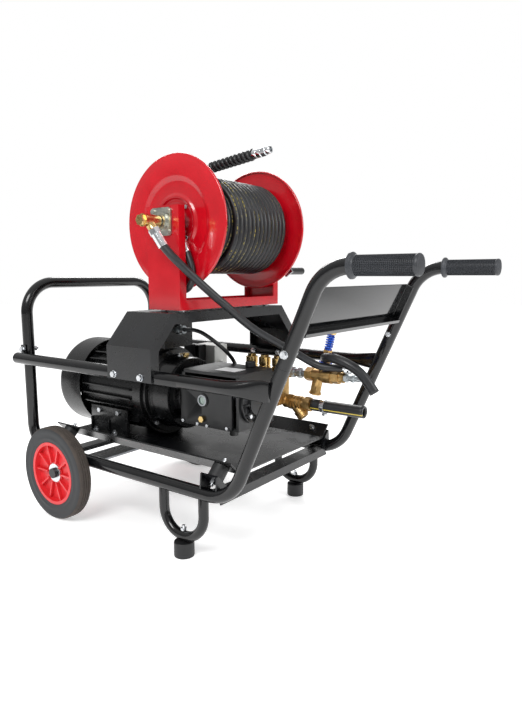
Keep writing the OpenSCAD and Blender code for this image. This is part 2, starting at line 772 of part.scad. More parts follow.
module y_strainer() color("#ad8a55") {
    difference() {
        union() {
            hex_x([96.2, inlet_y, inlet_z], 21, 14);
            rod_x([110, inlet_y, inlet_z], 16, 40);
            for (x = [114, 124, 134]) rod_x([x, inlet_y, inlet_z], 18.5, 5);
            hex_x([150, inlet_y, inlet_z], 20, 18);
            rod_x([168, inlet_y, inlet_z], 9.9, 34);
            translate([108, inlet_y, inlet_z]) rotate([0, 135, 0]) {
                cylinder(r = 14, h = 30);
                translate([0, 0, 30]) cylinder(r = 17, h = 8);
                translate([0, 0, 38]) cylinder(r = 15, h = 3);
                translate([0, 0, 41]) cylinder(r = 17, h = 8);
                translate([0, 0, 49]) cylinder(r = 14, h = 4);
            }
        }
        rod_x([95, inlet_y, inlet_z], 7, 120);
    }
}

module inlet_hose() color("#1a1b1c") difference() {
    rod_x([172, inlet_y, inlet_z], inlet_r, 154);
    rod_x([171, inlet_y, inlet_z], 10, 160);
}

module hose_clamp() color("#c5c7ca") {
    difference() {
        rod_x([clamp_x, inlet_y, inlet_z], inlet_r + 1.4, 12);
        rod_x([clamp_x - 1, inlet_y, inlet_z], inlet_r + 0.1, 14);
    }
    translate([clamp_x + 6, inlet_y - 2, inlet_z - inlet_r - 6]) rotate([-90, 0, 0]) cylinder(r = 4.5, h = 16);
}

module bypass_hose() color("#242629") hose(bypass_route, 12.5, 12);
module feed_hose() {
    color("#26282b") hose(feed_route, 10, 10);
}

// ---- reel ----

module reel_table() color("#191a1d") difference() {
    union() {
        difference() {
            table_outline(0, table_w);
            table_outline(table_t, table_w + 10);
        }
        // edges folded down along the front and the back
        for (s = [-1, 1]) intersection() {
            translate([s * (table_w / 2 - table_t / 2), 0, 0]) difference() {
                table_outline(0, table_t);
                table_outline(26, table_t + 10);
            }
            table_outline(0, table_w);
        }
    }
    for (x = leg_bolt_xs) rod_y([x, -far, middle_z], bolt_hole / 2, 2 * far);
    both_sides() rod_x([-far, middle_y, middle_z], tube_r + 0.3, 2 * far);
    for (x = [reel_x - 30, reel_x + 30], y = [stand_near + 30, stand_far - 30])
        rod_z([x, y, table_top - 20], bolt_hole / 2, 40);
}

// The table's bent outline, drawn inset by a distance and as wide as asked
module table_outline(inset, w) {
    slope = (leg_y - table_half) / (table_top - leg_fold_z);
    corner = inset * (sqrt(1 + slope * slope) - slope);
    fold = inset * (sqrt(1 + slope * slope) - 1) / slope;
    below = inset > 0 ? 60 : 0;
    translate([table_x - w / 2, 0, 0]) rotate([90, 0, 90]) linear_extrude(w) polygon([
        for (s = [1]) each [[leg_y - inset, leg_low_z - below], [leg_y - inset, leg_fold_z - fold],
            [table_half - inset * 0.5, table_top - inset], [-table_half + inset * 0.5, table_top - inset],
            [-leg_y + inset, leg_fold_z - fold], [-leg_y + inset, leg_low_z - below]],
    ]);
}

module reel_stand() color("#d8141c") {
    base = table_top + stand_gap;
    difference() {
        union() {
            // floor and its front and back edges
            box([reel_x - stand_w / 2, stand_near, base], [reel_x + stand_w / 2, stand_far, base + stand_t]);
            for (s = [-1, 1]) translate([reel_x + s * (stand_w / 2 - stand_t / 2), 0, 0])
                box([-stand_t / 2, stand_near, base], [stand_t / 2, stand_far, base + 24]);
            // uprights with their edges folded inwards
            upright(stand_near, 1);
            upright(stand_far, -1);
        }
        for (x = [reel_x - 30, reel_x + 30], y = [stand_near + 30, stand_far - 30])
            rod_z([x, y, base - 1], bolt_hole / 2, 10);
        rod_y([reel_x, stand_near - 10, reel_z], shaft_r + 1, far);
    }
}

module upright(y, inward) {
    base = table_top + stand_gap;
    y0 = inward > 0 ? y : y - stand_t;
    box([reel_x - stand_w / 2, y0, base], [reel_x + stand_w / 2, y0 + stand_t, stand_top]);
    for (s = [-1, 1]) translate([reel_x + s * (stand_w / 2 - stand_t / 2), 0, 0])
        box([-stand_t / 2, min(y, y + inward * stand_flange), base], [stand_t / 2, max(y, y + inward * stand_flange), stand_top]);
}

module swivel() {
    // cast bearing flanges on both uprights
    color("#b9babb") for (end = [[stand_near, -1], [stand_far, 1]]) translate([reel_x, end[0], reel_z]) rotate([end[1] * -90, 0, 0])
        difference() {
            union() {
                linear_extrude(5) hull() {
                    circle(r = 24);
                    for (a = [45:90:315]) rotate(a) translate([34, 0]) circle(r = 9);
                }
                translate([0, 0, 5]) cylinder(r = 22, h = end[1] > 0 ? 5 : 8);
                for (a = [45:90:315]) rotate(a) translate([34, 0, 5]) cylinder(r = 6.5, h = 4);
            }
            translate([0, 0, -1]) cylinder(r = shaft_r + 0.05, h = 20);
        }
    // brass swivel block with its side outlet, closed by a plug
    color("#b8903f") difference() {
        union() {
            rod_y([reel_x, -262, reel_z], 15, 48);
            hex_y([reel_x, -271, reel_z], 13, 9);
            on_outlet() cylinder(r = 11, h = 24);
        }
        rod_y([reel_x, -250, reel_z], shaft_r - 3.95, 40);
    }
    // steel nut and crimped ferrule that hold the feed hose
    color("#cfd1d3") on_outlet() {
        translate([0, 0, 24]) cylinder(r = 14, h = 13, $fn = 6);
        translate([0, 0, 37]) cylinder(r = 12, h = 35);
    }
}

// The swivel's outlet points down, forward and a little inwards
module on_outlet() translate([reel_x, -244, reel_z]) rotate([0, 148, 22]) children();

module reel_drum() color("#d8141c") {
    reel_disc(disc_near, 1);
    reel_disc(disc_far, -1);
    difference() {
        rod_y([reel_x, disc_near + 1.5, reel_z], core_r, disc_far - disc_near - 3);
        rod_y([reel_x, disc_near, reel_z], core_r - 3, disc_far - disc_near);
    }
}

// A pressed disc with a rolled rim and a raised ring; inward is the side of the hose
module reel_disc(y, inward) translate([reel_x, y, reel_z]) rotate([-90, 0, 0]) {
    difference() {
        union() {
            translate([0, 0, -1.5]) cylinder(r = disc_r - 2, h = 3, $fn = 128);
            rotate_extrude($fn = 128) translate([disc_r - 3, 0]) circle(r = 3);
            translate([0, 0, inward > 0 ? -4 : 1]) difference() {
                cylinder(r = 78, h = 3);
                translate([0, 0, -1]) cylinder(r = 70, h = 5);
            }
        }
        translate([0, 0, -10]) cylinder(r = shaft_r + 0.05, h = 20);
        if (inward > 0) translate([86, 0, -10]) cylinder(r = 11, h = 20);
    }
}

module reel_shaft() color("#9b9da0") {
    rod_y([reel_x, -212, reel_z], shaft_r, crank_y + 212);
    rod_y([reel_x, -240, reel_z], shaft_r - 4, 28);
    // crank arm with the grip's pin
    rotate_arm() box([-16, crank_y, -14], [crank_len + 12, crank_y + 6, 14]);
    rod_y([reel_x + crank_dx, crank_y + 6, reel_z + crank_dz], 5, crank_tip - crank_y - 10);
}
crank_len = norm([crank_dx, crank_dz]);
module rotate_arm() translate([reel_x, 0, reel_z]) rotate([0, -atan2(crank_dz, crank_dx), 0]) children();

module crank_grip() color("#4a4c50") translate([reel_x + crank_dx, 0, reel_z + crank_dz]) difference() {
    rod_y([0, crank_y + 8, 0], 10.5, crank_tip - crank_y - 8);
    rod_y([0, crank_y + 7, 0], 5.05, crank_tip - crank_y - 10);
}

module wound_hose() color("#1f2022") {
    translate([reel_x, 0, reel_z]) rotate([-90, 0, 0]) translate([0, 0, disc_near + 5]) difference() {
        cylinder(r = winding_r, h = disc_far - disc_near - 10, $fn = 96);
        translate([0, 0, -1]) cylinder(r = core_r + 0.3, h = far);
    }
    // the hose's inner end, from the hub round to the hole in the near disc
    translate([reel_x, disc_near - 13, reel_z]) rotate([-90, 0, 0])
        rotate([0, 0, 20]) rotate_extrude(angle = 60) translate([77, 0]) circle(r = 8);
}

module hose_end() translate(whip_start) rotate([0, 90 - whip_rise, 0]) {
    color("#1f2022") {
        cylinder(r = hose_d / 2, h = whip_len);
        translate([0, 0, guard_from]) cylinder(r = 13, h = whip_len - guard_from);
    }
    color("#c8cacc") {
        translate([0, 0, whip_len]) cylinder(r = 10.5, h = 20);
        translate([0, 0, whip_len + 20]) cylinder(r = 12, h = 12, $fn = 6);
        translate([0, 0, whip_len + 32]) cylinder(r = 9, h = 14);
    }
}

// ---- wheels ----

module on_axle(side) on_side(side) translate([axle_x, wheel_y, wheel_r]) rotate([-90, 0, 0]) children();

module tyre(side) color("#4b4d50") on_axle(side) rotate_extrude($fn = 96) difference() {
    union() {
        translate([rim_r + 0.1, 0]) square([wheel_r - rim_r - 10.1, wheel_w]);
        translate([wheel_r - 11, 10]) square([11, wheel_w - 20]);
        for (y = [10, wheel_w - 10]) translate([wheel_r - 10, y]) circle(r = 10);
    }
    for (y = [12, 20, 28]) translate([wheel_r - 2, y - 1]) square([4, 2]);
}
module tyre_left() tyre(-1);
module tyre_right() tyre(1);

module rim(side) color("#c3161c") on_axle(side) difference() {
    union() {
        // barrel and web
        difference() {
            translate([0, 0, 2]) cylinder(r = rim_r, h = wheel_w - 4, $fn = 96);
            translate([0, 0, 22]) cylinder(r = rim_r - 9, h = wheel_w);
            translate([0, 0, -1]) cylinder(r = rim_r - 9, h = 17);
        }
        translate([0, 0, -1]) cylinder(r = hub_r, h = 27);
        for (a = [0:36:324]) rotate([0, 0, a]) box([hub_r - 1, -2.5, 20], [rim_r - 5, 2.5, 32]);
    }
    translate([0, 0, -2]) cylinder(r = axle_r + 0.05, h = 60);
}
module rim_left() rim(-1);
module rim_right() rim(1);

// ---- turning parts of the motor and pump ----

module rotor() color("#85878b") on_drive() {
    rod_x([-408, 0, 0], 61.8, 114);
    rod_x([-556, 0, 0], 14, 82);
    rod_x([-474, 0, 0], 19, 268);
    rod_x([-206, 0, 0], 14, 40);
}

module cooling_fan() color("#222326") on_drive() difference() {
    union() {
        rod_x([-530, 0, 0], 30, 40);
        rod_x([-494, 0, 0], 104, 4);
        for (a = [0:45:315]) rotate([a, 0, 0]) box([-530, 26, -2], [-494, 104, 2]);
    }
    rod_x([-540, 0, 0], 14.02, 70);
}

module crankshaft() color("#7d7f83") on_drive() {
    // coupling half round both shaft ends
    difference() {
        rod_x([-200, 0, 0], 32, 46);
        rod_x([-201, 0, 0], 14.02, 36);
    }
    rod_x([-154.5, 0, 0], 21.8, 60);
    rod_x([-95, 0, 0], 30, 40);
    // three throws between the webs
    for (i = [-1:1]) rod_x([-55 + 20 + i * 36 - 10, 10 * cos(i * 120), 10 * sin(i * 120)], 18, 36);
    rod_x([35, 0, 0], 30, 14);
    rod_x([49, 0, 0], 20, 46);
}

side_tube_left();
side_tube_right();
rear_hoop();
middle_rail_left();
middle_rail_right();
handle_tube_left();
handle_tube_right();
grip_left();
grip_right();
handle_panel();
machine_bolts();
cross_members();
axle();
foot_loops();
rubber_feet();
rubber_mounts();
mount_studs();
tray();
motor_housing();
stator_core();
fan_cover();
motor_feet();
terminal_box();
motor_cable();
control_boxes();
bell_housing();
crankcase();
crankcase_covers();
sight_glass();
brass_plugs();
top_cover();
manifold();
valve_caps();
plungers();
unloader_valve();
unloader_spring();
outlet_nipples();
bypass_hose();
y_strainer();
inlet_hose();
hose_clamp();
reel_table();
reel_stand();
swivel();
feed_hose();
tyre_left();
tyre_right();
rim_left();
rim_right();
reel_drum();
reel_shaft();
wound_hose();
hose_end();
crank_grip();
rotor();
cooling_fan();
crankshaft();
unloader_knob();
oil_cap();
switch_knob();
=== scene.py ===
import json
import math

import bmesh
import bpy
from mathutils import Matrix, Vector


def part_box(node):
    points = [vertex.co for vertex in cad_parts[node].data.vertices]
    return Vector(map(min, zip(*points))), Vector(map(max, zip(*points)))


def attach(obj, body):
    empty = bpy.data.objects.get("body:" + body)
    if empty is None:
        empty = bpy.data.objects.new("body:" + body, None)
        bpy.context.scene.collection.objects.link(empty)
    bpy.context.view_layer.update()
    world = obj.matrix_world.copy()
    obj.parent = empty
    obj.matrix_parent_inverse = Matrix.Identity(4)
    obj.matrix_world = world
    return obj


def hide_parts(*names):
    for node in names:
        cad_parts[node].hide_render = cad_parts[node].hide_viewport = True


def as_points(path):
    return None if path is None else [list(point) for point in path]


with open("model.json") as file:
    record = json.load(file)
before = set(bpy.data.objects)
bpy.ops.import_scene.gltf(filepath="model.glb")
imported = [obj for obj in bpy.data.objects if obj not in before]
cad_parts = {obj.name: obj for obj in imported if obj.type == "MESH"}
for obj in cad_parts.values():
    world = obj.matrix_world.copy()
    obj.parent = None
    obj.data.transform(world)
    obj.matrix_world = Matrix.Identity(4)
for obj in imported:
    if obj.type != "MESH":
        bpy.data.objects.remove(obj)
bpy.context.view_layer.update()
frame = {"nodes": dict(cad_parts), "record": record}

mm = 0.001
bodyOf = {node: body for body, nodes in frame["record"]["behaviour"]["bodies"].items() for node in nodes}


# ---- camera ----

cameraSettings = {
    "place": (0.97719, -1.21591, 0.67647),
    "azimuth": 36.42,  # turned from looking along +Y
    "pitch": -8.28,
    "roll": -0.15,
    "lens": 29.29,
}


def addCamera(settings):
    camera = bpy.data.cameras.new("camera")
    camera.lens = settings["lens"]
    camera.sensor_width = 36
    holder = bpy.data.objects.new("camera", camera)
    bpy.context.scene.collection.objects.link(holder)
    turnAndTilt = (Matrix.Rotation(math.radians(settings["azimuth"]), 4, "Z")
                   @ Matrix.Rotation(math.radians(90 + settings["pitch"]), 4, "X")
                   @ Matrix.Rotation(math.radians(settings["roll"]), 4, "Z"))
    holder.matrix_world = Matrix.Translation(settings["place"]) @ turnAndTilt
    bpy.context.scene.camera = holder


addCamera(cameraSettings)
print("camera placed")


# ---- materials ----

def linearColor(code):
    parts = [int(code[i:i + 2], 16) / 255 for i in (1, 3, 5)]
    return tuple(p / 12.92 if p <= 0.04045 else ((p + 0.055) / 1.055) ** 2.4 for p in parts) + (1.0,)


def addNode(tree, kind, settings=None, links=None):
    node = tree.nodes.new(kind)
    for name, value in (settings or {}).items():
        if isinstance(name, int) or name in node.inputs:
            node.inputs[name].default_value = value
        else:
            setattr(node, name, value)
    for name, source in (links or {}).items():
        tree.links.new(source, node.inputs[name])
    return node


def startMaterial(name, settings):
    material = bpy.data.materials.new(name)
    material.use_nodes = True
    shader = material.node_tree.nodes["Principled BSDF"]
    for socket, value in settings.items():
        shader.inputs[socket].default_value = value
    coordinates = addNode(material.node_tree, "ShaderNodeTexCoord").outputs["Object"]
    return material, material.node_tree, shader, coordinates


# A surface whose colour and roughness drift between two values, with a fine grain that stands up a little
def grainedMaterial(name, colors, roughness, grain, height, patch=60, **shaderSettings):
    material, tree, shader, coordinates = startMaterial(name, shaderSettings)
    drift = addNode(tree, "ShaderNodeTexNoise", {"Scale": 1000 / patch, "Detail": 4.0}, {"Vector": coordinates})
    ramp = addNode(tree, "ShaderNodeValToRGB", links={"Fac": drift.outputs["Fac"]})
    ramp.color_ramp.elements[0].position = 0.3
    ramp.color_ramp.elements[1].position = 0.7
    for stop, code in zip(ramp.color_ramp.elements, colors):
        stop.color = linearColor(code)
    tree.links.new(ramp.outputs["Color"], shader.inputs["Base Color"])
    fine = addNode(tree, "ShaderNodeTexNoise", {"Scale": 1000 / grain, "Detail": 3.0}, {"Vector": coordinates})
    rough = addNode(tree, "ShaderNodeMapRange", {"From Min": 0.3, "From Max": 0.7, "To Min": roughness[0],
                    "To Max": roughness[1]}, {"Value": drift.outputs["Fac"]})
    tree.links.new(rough.outputs["Result"], shader.inputs["Roughness"])
    bump = addNode(tree, "ShaderNodeBump", {"Strength": 0.5, "Distance": height * mm},
                   {"Height": fine.outputs["Fac"]})
    tree.links.new(bump.outputs["Normal"], shader.inputs["Normal"])
    return material


# Gloss powder coat: a hard black paint that melts into a faint orange peel
framePowder = grainedMaterial("glossPowderCoatBlack", ("#060607", "#0b0c0e"), (0.14, 0.22), 2.4, 0.04,
                              **{"Specular IOR Level": 0.42, "Coat Weight": 0.12, "Coat Roughness": 0.06})
# The same paint on the flat sheet between the handles, smoother and more like a mirror
panelPowder = grainedMaterial("glossPowderCoatBlack", ("#0d0e0f", "#121315"), (0.09, 0.13), 1.8, 0.03,
                              **{"Specular IOR Level": 0.5, "Coat Weight": 0.25, "Coat Roughness": 0.05})
# Satin powder coat on folded sheet, duller and dustier than the tubes
sheetPowder = grainedMaterial("satinPowderCoatBlack", ("#0a0b0c", "#121316"), (0.22, 0.34), 1.8, 0.05,
                              **{"Specular IOR Level": 0.42, "Coat Weight": 0.1, "Coat Roughness": 0.15})
# Machine enamel sprayed over sand castings: gloss on a slightly lumpy skin
castEnamel = grainedMaterial("glossEnamelOnCasting", ("#070708", "#0e0f10"), (0.2, 0.32), 3.5, 0.25, patch=35,
                             **{"Specular IOR Level": 0.4, "Coat Weight": 0.1, "Coat Roughness": 0.12})
# The pump's crankcase has a finer, duller black finish
pumpEnamel = grainedMaterial("satinEnamelOnDieCasting", ("#0d0e0f", "#151618"), (0.32, 0.44), 1.6, 0.12, patch=40)
# Red powder coat: deep and glossy, with light rolling along the pressings
redPowder = grainedMaterial("glossPowderCoatRed", ("#ab0414", "#b90719"), (0.16, 0.24), 2.6, 0.05,
                            **{"Coat Weight": 0.4, "Coat Roughness": 0.06})
# Moulded polypropylene of the wheel rims
redPlastic = grainedMaterial("mouldedPolypropyleneRed", ("#cc2026", "#dc3036"), (0.34, 0.44), 1.2, 0.05)
# Solid rubber tyre, greyed by dust and mould release
tyreRubber = grainedMaterial("solidTyreRubber", ("#26282a", "#36383a"), (0.58, 0.76), 0.9, 0.1, patch=45)
# The tread, browned by dust
treadRubber = grainedMaterial("dustyTreadRubber", ("#37302c", "#4a423c"), (0.72, 0.88), 1.2, 0.15, patch=30)
# Moulded grip rubber, a soft dark grey
gripRubber = grainedMaterial("mouldedGripRubber", ("#25272b", "#313439"), (0.4, 0.54), 0.7, 0.08)
# Natural rubber of feet and mounts
mountRubber = grainedMaterial("mouldedNaturalRubber", ("#0f1011", "#191a1c"), (0.45, 0.6), 0.8, 0.08)
# Smooth extruded hose cover
hoseCover = grainedMaterial("extrudedHoseCover", ("#121315", "#1d1f22"), (0.34, 0.46), 0.7, 0.06, patch=25)
# PVC jacket of the motor lead
cableJacket = grainedMaterial("extrudedPvcJacket", ("#121315", "#1c1d1f"), (0.3, 0.4), 0.8, 0.03, patch=30)
# Bright zinc plate on fasteners
zincPlate = grainedMaterial("brightZincPlate", ("#b9bdc2", "#dfe1e3"), (0.2, 0.34), 0.9, 0.03, patch=6, Metallic=1.0)
# Hot dip galvanised pipe fittings: pale and blotchy
galvanised = grainedMaterial("hotDipGalvanisedSteel", ("#8f979b", "#c4c9cb"), (0.26, 0.46), 1.4, 0.1, patch=5,
                             Metallic=1.0)
# Die cast zinc flange, chromated, a warm grey
castZinc = grainedMaterial("dieCastZinc", ("#a3a49c", "#c9c9c0"), (0.28, 0.42), 1.0, 0.08, patch=14, Metallic=1.0)
# Chrome plate of the crimped ferrules
chromePlate = grainedMaterial("chromePlate", ("#d2d5d8", "#eceef0"), (0.07, 0.16), 0.8, 0.01, patch=10, Metallic=1.0)
# Turned steel of shafts
turnedSteel = grainedMaterial("turnedSteel", ("#85888c", "#a7aaae"), (0.28, 0.4), 0.6, 0.02, patch=12, Metallic=1.0)
# Machined brass, yellow and clean
machinedBrass = grainedMaterial("machinedBrass", ("#b89a5e", "#d8bd86"), (0.16, 0.3), 0.8, 0.03, patch=9,
                                Metallic=1.0)
# Forged brass with a sandblasted skin, browner
forgedBrass = grainedMaterial("forgedBrass", ("#9c7d4e", "#c4a26c"), (0.32, 0.5), 0.9, 0.12, patch=12, Metallic=1.0)
# Black moulded nylon of the covers
blackNylon = grainedMaterial("mouldedNylonBlack", ("#0e0f10", "#17181a"), (0.36, 0.5), 0.8, 0.06, patch=30)
# Pale grey ABS of the starter box
greyAbs = grainedMaterial("mouldedAbsGrey", ("#c4c5c2", "#d2d3d0"), (0.42, 0.52), 0.8, 0.04)
# Clear vinyl over white of the blank label
whiteVinyl = grainedMaterial("whiteVinylLabel", ("#e6e7e8", "#f1f2f2"), (0.3, 0.38), 2.0, 0.01)
# Epoxy coated spring wire and locknut
blueEpoxy = grainedMaterial("epoxyCoatBlue", ("#0f3ea6", "#1a55c8"), (0.24, 0.34), 1.2, 0.04, patch=12)
# Polished alumina plungers
alumina = grainedMaterial("polishedAlumina", ("#dedbd0", "#ece9e0"), (0.12, 0.2), 1.0, 0.01)
# Varnished motor core
coreSteel = grainedMaterial("varnishedCoreSteel", ("#5c5b58", "#77736a"), (0.4, 0.55), 1.0, 0.06, Metallic=1.0)
# Cast polyamide switch
redNylon = grainedMaterial("mouldedNylonRed", ("#a60f14", "#bd1a1f"), (0.3, 0.4), 0.8, 0.04)
# Clear acrylic lens over a pale dial
sightLens = grainedMaterial("clearAcrylicOverDial", ("#5d6f68", "#93a59c"), (0.05, 0.12), 4.0, 0.01, patch=9,
                            **{"Coat Weight": 1.0, "Coat Roughness": 0.03})


# Hose cover with a broken marking line; "along" and "round" are the hose's own measures, in metres and turns
def markedHoseMaterial(name, inkCode, dash, gap, width, turnAt, wear):
    material = hoseCover.copy()
    material.name = name
    tree = material.node_tree
    shader = tree.nodes["Principled BSDF"]
    cover = shader.inputs["Base Color"].links[0].from_socket
    along = addNode(tree, "ShaderNodeAttribute", {"attribute_name": "along"}).outputs["Fac"]
    around = addNode(tree, "ShaderNodeAttribute", {"attribute_name": "round"}).outputs["Fac"]
    period = addNode(tree, "ShaderNodeMath", {"operation": "WRAP", 1: (dash + gap) * mm, 2: 0.0}, {0: along})
    isDash = addNode(tree, "ShaderNodeMath", {"operation": "LESS_THAN", 1: dash * mm}, {0: period.outputs[0]})
    away = addNode(tree, "ShaderNodeMath", {"operation": "SUBTRACT", 1: turnAt}, {0: around})
    distance = addNode(tree, "ShaderNodeMath", {"operation": "ABSOLUTE"}, {0: away.outputs[0]})
    isLine = addNode(tree, "ShaderNodeMath", {"operation": "LESS_THAN", 1: width}, {0: distance.outputs[0]})
    ink = addNode(tree, "ShaderNodeMath", {"operation": "MULTIPLY"}, {0: isDash.outputs[0], 1: isLine.outputs[0]})
    coordinates = addNode(tree, "ShaderNodeTexCoord").outputs["Object"]
    rubbed = addNode(tree, "ShaderNodeTexNoise", {"Scale": 1000 / 30, "Detail": 3.0}, {"Vector": coordinates})
    left = addNode(tree, "ShaderNodeMapRange", {"From Min": wear[0], "From Max": wear[1]},
                   {"Value": rubbed.outputs["Fac"]})
    ink = addNode(tree, "ShaderNodeMath", {"operation": "MULTIPLY"}, {0: ink.outputs[0], 1: left.outputs["Result"]})
    mixed = addNode(tree, "ShaderNodeMix", {"data_type": "RGBA"})
    tree.links.new(ink.outputs[0], mixed.inputs["Factor"])
    tree.links.new(cover, mixed.inputs[6])
    mixed.inputs[7].default_value = linearColor(inkCode)
    tree.links.new(mixed.outputs[2], shader.inputs["Base Color"])
    return material


# Printed marking on the jetting hose: worn yellow dashes along its outer side
dashedHose = markedHoseMaterial("hoseCoverYellowDashes", "#a08f38", 7, 4, 0.028, 0.27, (0.46, 0.62))
# Suction hose with one thin unbroken stripe
stripedHose = markedHoseMaterial("hoseCoverYellowStripe", "#c9b244", 400, 1, 0.014, 0.53, (0.1, 0.3))
print("materials made")


# ---- shared mesh tools ----

def linkPiece(name, mesh, materials, body, replaced=()):
    piece = bpy.data.objects.new(name, mesh)
    bpy.context.scene.collection.objects.link(piece)
    for material in materials:
        mesh.materials.append(material)
    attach(piece, body)
    if replaced:
        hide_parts(*replaced)
    return piece


def meshOf(name, bm, sharpAngle=35):
    mesh = bpy.data.meshes.new(name)
    bm.to_mesh(mesh)
    bm.free()
    mesh.polygons.foreach_set("use_smooth", [True] * len(mesh.polygons))
    mesh.set_sharp_from_angle(angle=math.radians(sharpAngle))
    return mesh


def addBevel(piece, width):
    bevel = piece.modifiers.new("edges", "BEVEL")
    bevel.width = width * mm
    bevel.segments = 2
    bevel.limit_method = "ANGLE"
    bevel.angle_limit = math.radians(35)
    bevel.harden_normals = True


def islandsOf(bm):
    left = set(bm.faces)
    while left:
        front = [left.pop()]
        island = list(front)
        while front:
            for edge in front.pop().edges:
                for face in edge.link_faces:
                    if face in left:
                        left.remove(face)
                        front.append(face)
                        island.append(face)
        corners = [v.co for f in island for v in f.verts]
        low = Vector([min(c[i] for c in corners) for i in range(3)])
        high = Vector([max(c[i] for c in corners) for i in range(3)])
        yield island, low, high


def mergedCopy(node):
    bm = bmesh.new()
    bm.from_mesh(frame["nodes"][node].data)
    bmesh.ops.remove_doubles(bm, verts=bm.verts, dist=0.02 * mm)
    return bm


# A merged copy of a CAD node with eased edges. Where it has several materials, choose gives the place in their list
# of each solid, from its box, and chooseFace that of each face, from its middle
def refineNode(node, materials, edge, choose=None, chooseFace=None):
    bm = mergedCopy(node)
    bmesh.ops.dissolve_limit(bm, angle_limit=math.radians(0.6), verts=bm.verts, edges=bm.edges)
    if choose:
        for island, low, high in list(islandsOf(bm)):
            place = choose(low, high)
            for face in island:
                face.material_index = place
    if chooseFace:
        for face in bm.faces:
            face.material_index = chooseFace(face.calc_center_median())
    piece = linkPiece(node + "_shell", meshOf(node, bm), materials, bodyOf[node], (node,))
    addBevel(piece, edge)


def finishNode(node, material):
    mesh = frame["nodes"][node].data
    mesh.materials.clear()
    mesh.materials.append(material)


# A turned piece: profile holds (distance from the axis, place along it) in millimetres
def turnProfile(bm, profile, origin, axis, steps):
    direction = Vector(axis).normalized()
    across = direction.orthogonal().normalized()
    start = Vector(origin)
    verts = [bm.verts.new(start + direction * (h * mm) + across * (r * mm)) for r, h in profile]
    edges = [bm.edges.new((a, b)) for a, b in zip(verts, verts[1:])]
    bmesh.ops.spin(bm, geom=verts + edges, cent=start, axis=direction, angle=math.tau, steps=steps, use_merge=True)
    bmesh.ops.remove_doubles(bm, verts=bm.verts, dist=0.01 * mm)


def closeSurface(bm):
    bmesh.ops.holes_fill(bm, edges=bm.edges, sides=0)
    bmesh.ops.recalc_face_normals(bm, faces=bm.faces)


def turnedPiece(name, profile, origin, axis, material, body, replaced=(), steps=64):
    bm = bmesh.new()
    turnProfile(bm, profile, origin, axis, steps)
    closeSurface(bm)
    return linkPiece(name, meshOf(name, bm), [material], body, replaced)


def hexPrism(bm, origin, axis, radius, length, start=0.0, twist=0.0):
    direction = Vector(axis).normalized()
    place = Matrix.Translation(Vector(origin) + direction * ((start + length / 2) * mm))
    turned = direction.to_track_quat("Z", "Y").to_matrix().to_4x4() @ Matrix.Rotation(twist, 4, "Z")
    bmesh.ops.create_cone(bm, cap_ends=True, segments=6, radius1=radius * mm, radius2=radius * mm,
                          depth=length * mm, matrix=place @ turned)


# Points between the given ones on a smooth curve through them
def smoothRoute(points, between):
    pts = [Vector(p) for p in points]
    ends = [2 * pts[0] - pts[1]] + pts + [2 * pts[-1] - pts[-2]]
    route = []
    for a, b, c, d in zip(ends, ends[1:], ends[2:], ends[3:]):
        for k in range(between):
            t = k / between
            route.append(0.5 * (2 * b + (c - a) * t + (2 * a - 5 * b + 4 * c - d) * t ** 2
                                + (3 * b - a - 3 * c + d) * t ** 3))
    return route + [pts[-1]]


def lengthOf(route):
    return sum((b - a).length for a, b in zip(route, route[1:]))


# A round tube along a route, with its own measures along and round it
def hoseMesh(name, route, radius, sides=16, capped=True):
    curve = bpy.data.curves.new(name, "CURVE")
    curve.dimensions = "3D"
    curve.bevel_depth = radius
    curve.bevel_resolution = sides // 2 - 2
    curve.use_fill_caps = False
    spline = curve.splines.new("POLY")
    spline.points.add(len(route) - 1)
    for point, place in zip(spline.points, route):
        point.co = (*place, 1.0)
    holder = bpy.data.objects.new(name, curve)
    bpy.context.scene.collection.objects.link(holder)
    mesh = bpy.data.meshes.new_from_object(holder)
    bpy.data.objects.remove(holder)
    perRing = len(mesh.vertices) // len(route)
    travelled = [0.0]
    for a, b in zip(route, route[1:]):
        travelled.append(travelled[-1] + (b - a).length)
    along = mesh.attributes.new("along", "FLOAT", "POINT")
    around = mesh.attributes.new("round", "FLOAT", "POINT")
    along.data.foreach_set("value", [travelled[i // perRing] for i in range(len(mesh.vertices))])
    around.data.foreach_set("value", [(i % perRing) / perRing for i in range(len(mesh.vertices))])
    if capped:
        bm = bmesh.new()
        bm.from_mesh(mesh)
        closeSurface(bm)
        bm.to_mesh(mesh)
        bm.free()
    mesh.polygons.foreach_set("use_smooth", [True] * len(mesh.polygons))
    mesh.set_sharp_from_angle(angle=math.radians(50))
    return mesh


def addWall(hose, thickness):
    wall = hose.modifiers.new("wall", "SOLIDIFY")
    wall.thickness = thickness * mm
    wall.offset = -1


# ---- cords ----

feedHose = {
    "route": [
        (-35, -231, 745), (-17, -222, 722), (0, -210, 701), (18, -188, 673), (35, -162, 645), (47, -138, 622),
        (58, -112, 600), (68, -84, 576), (78, -54, 552), (88, -25, 532), (101, 6, 513), (123, 36, 492),
        (152, 62, 470), (180, 78, 451), (206, 88, 439), (234, 100, 436), (260, 110, 435), (284, 116, 434),
    ],
    "radius": 10,
}
bypassHose = {
    "route": [
        (212, 104, 459), (219, 94, 462), (229, 86, 464), (242, 80, 465), (256, 77, 464), (271, 76, 461),
        (287, 76, 456), (303, 77, 449), (318, 79, 440), (332, 81, 428), (344, 83, 414), (355, 84, 400),
        (365, 85, 386),
    ],
    "radius": 12.5,
    "wall": 4.5,
}
jettingHose = {
    "radius": 8.3,
    "turnPitch": 16.9,
    "layerRadii": (66.6, 83.3, 100.0, 116.5),
    "nearestY": -133,
    "furthestY": 151,
    "lastY": -60,  # the free end leaves the top layer here
    "sway": 4,  # how far each turn leans over the drum
    "pointsPerTurn": 28,
}
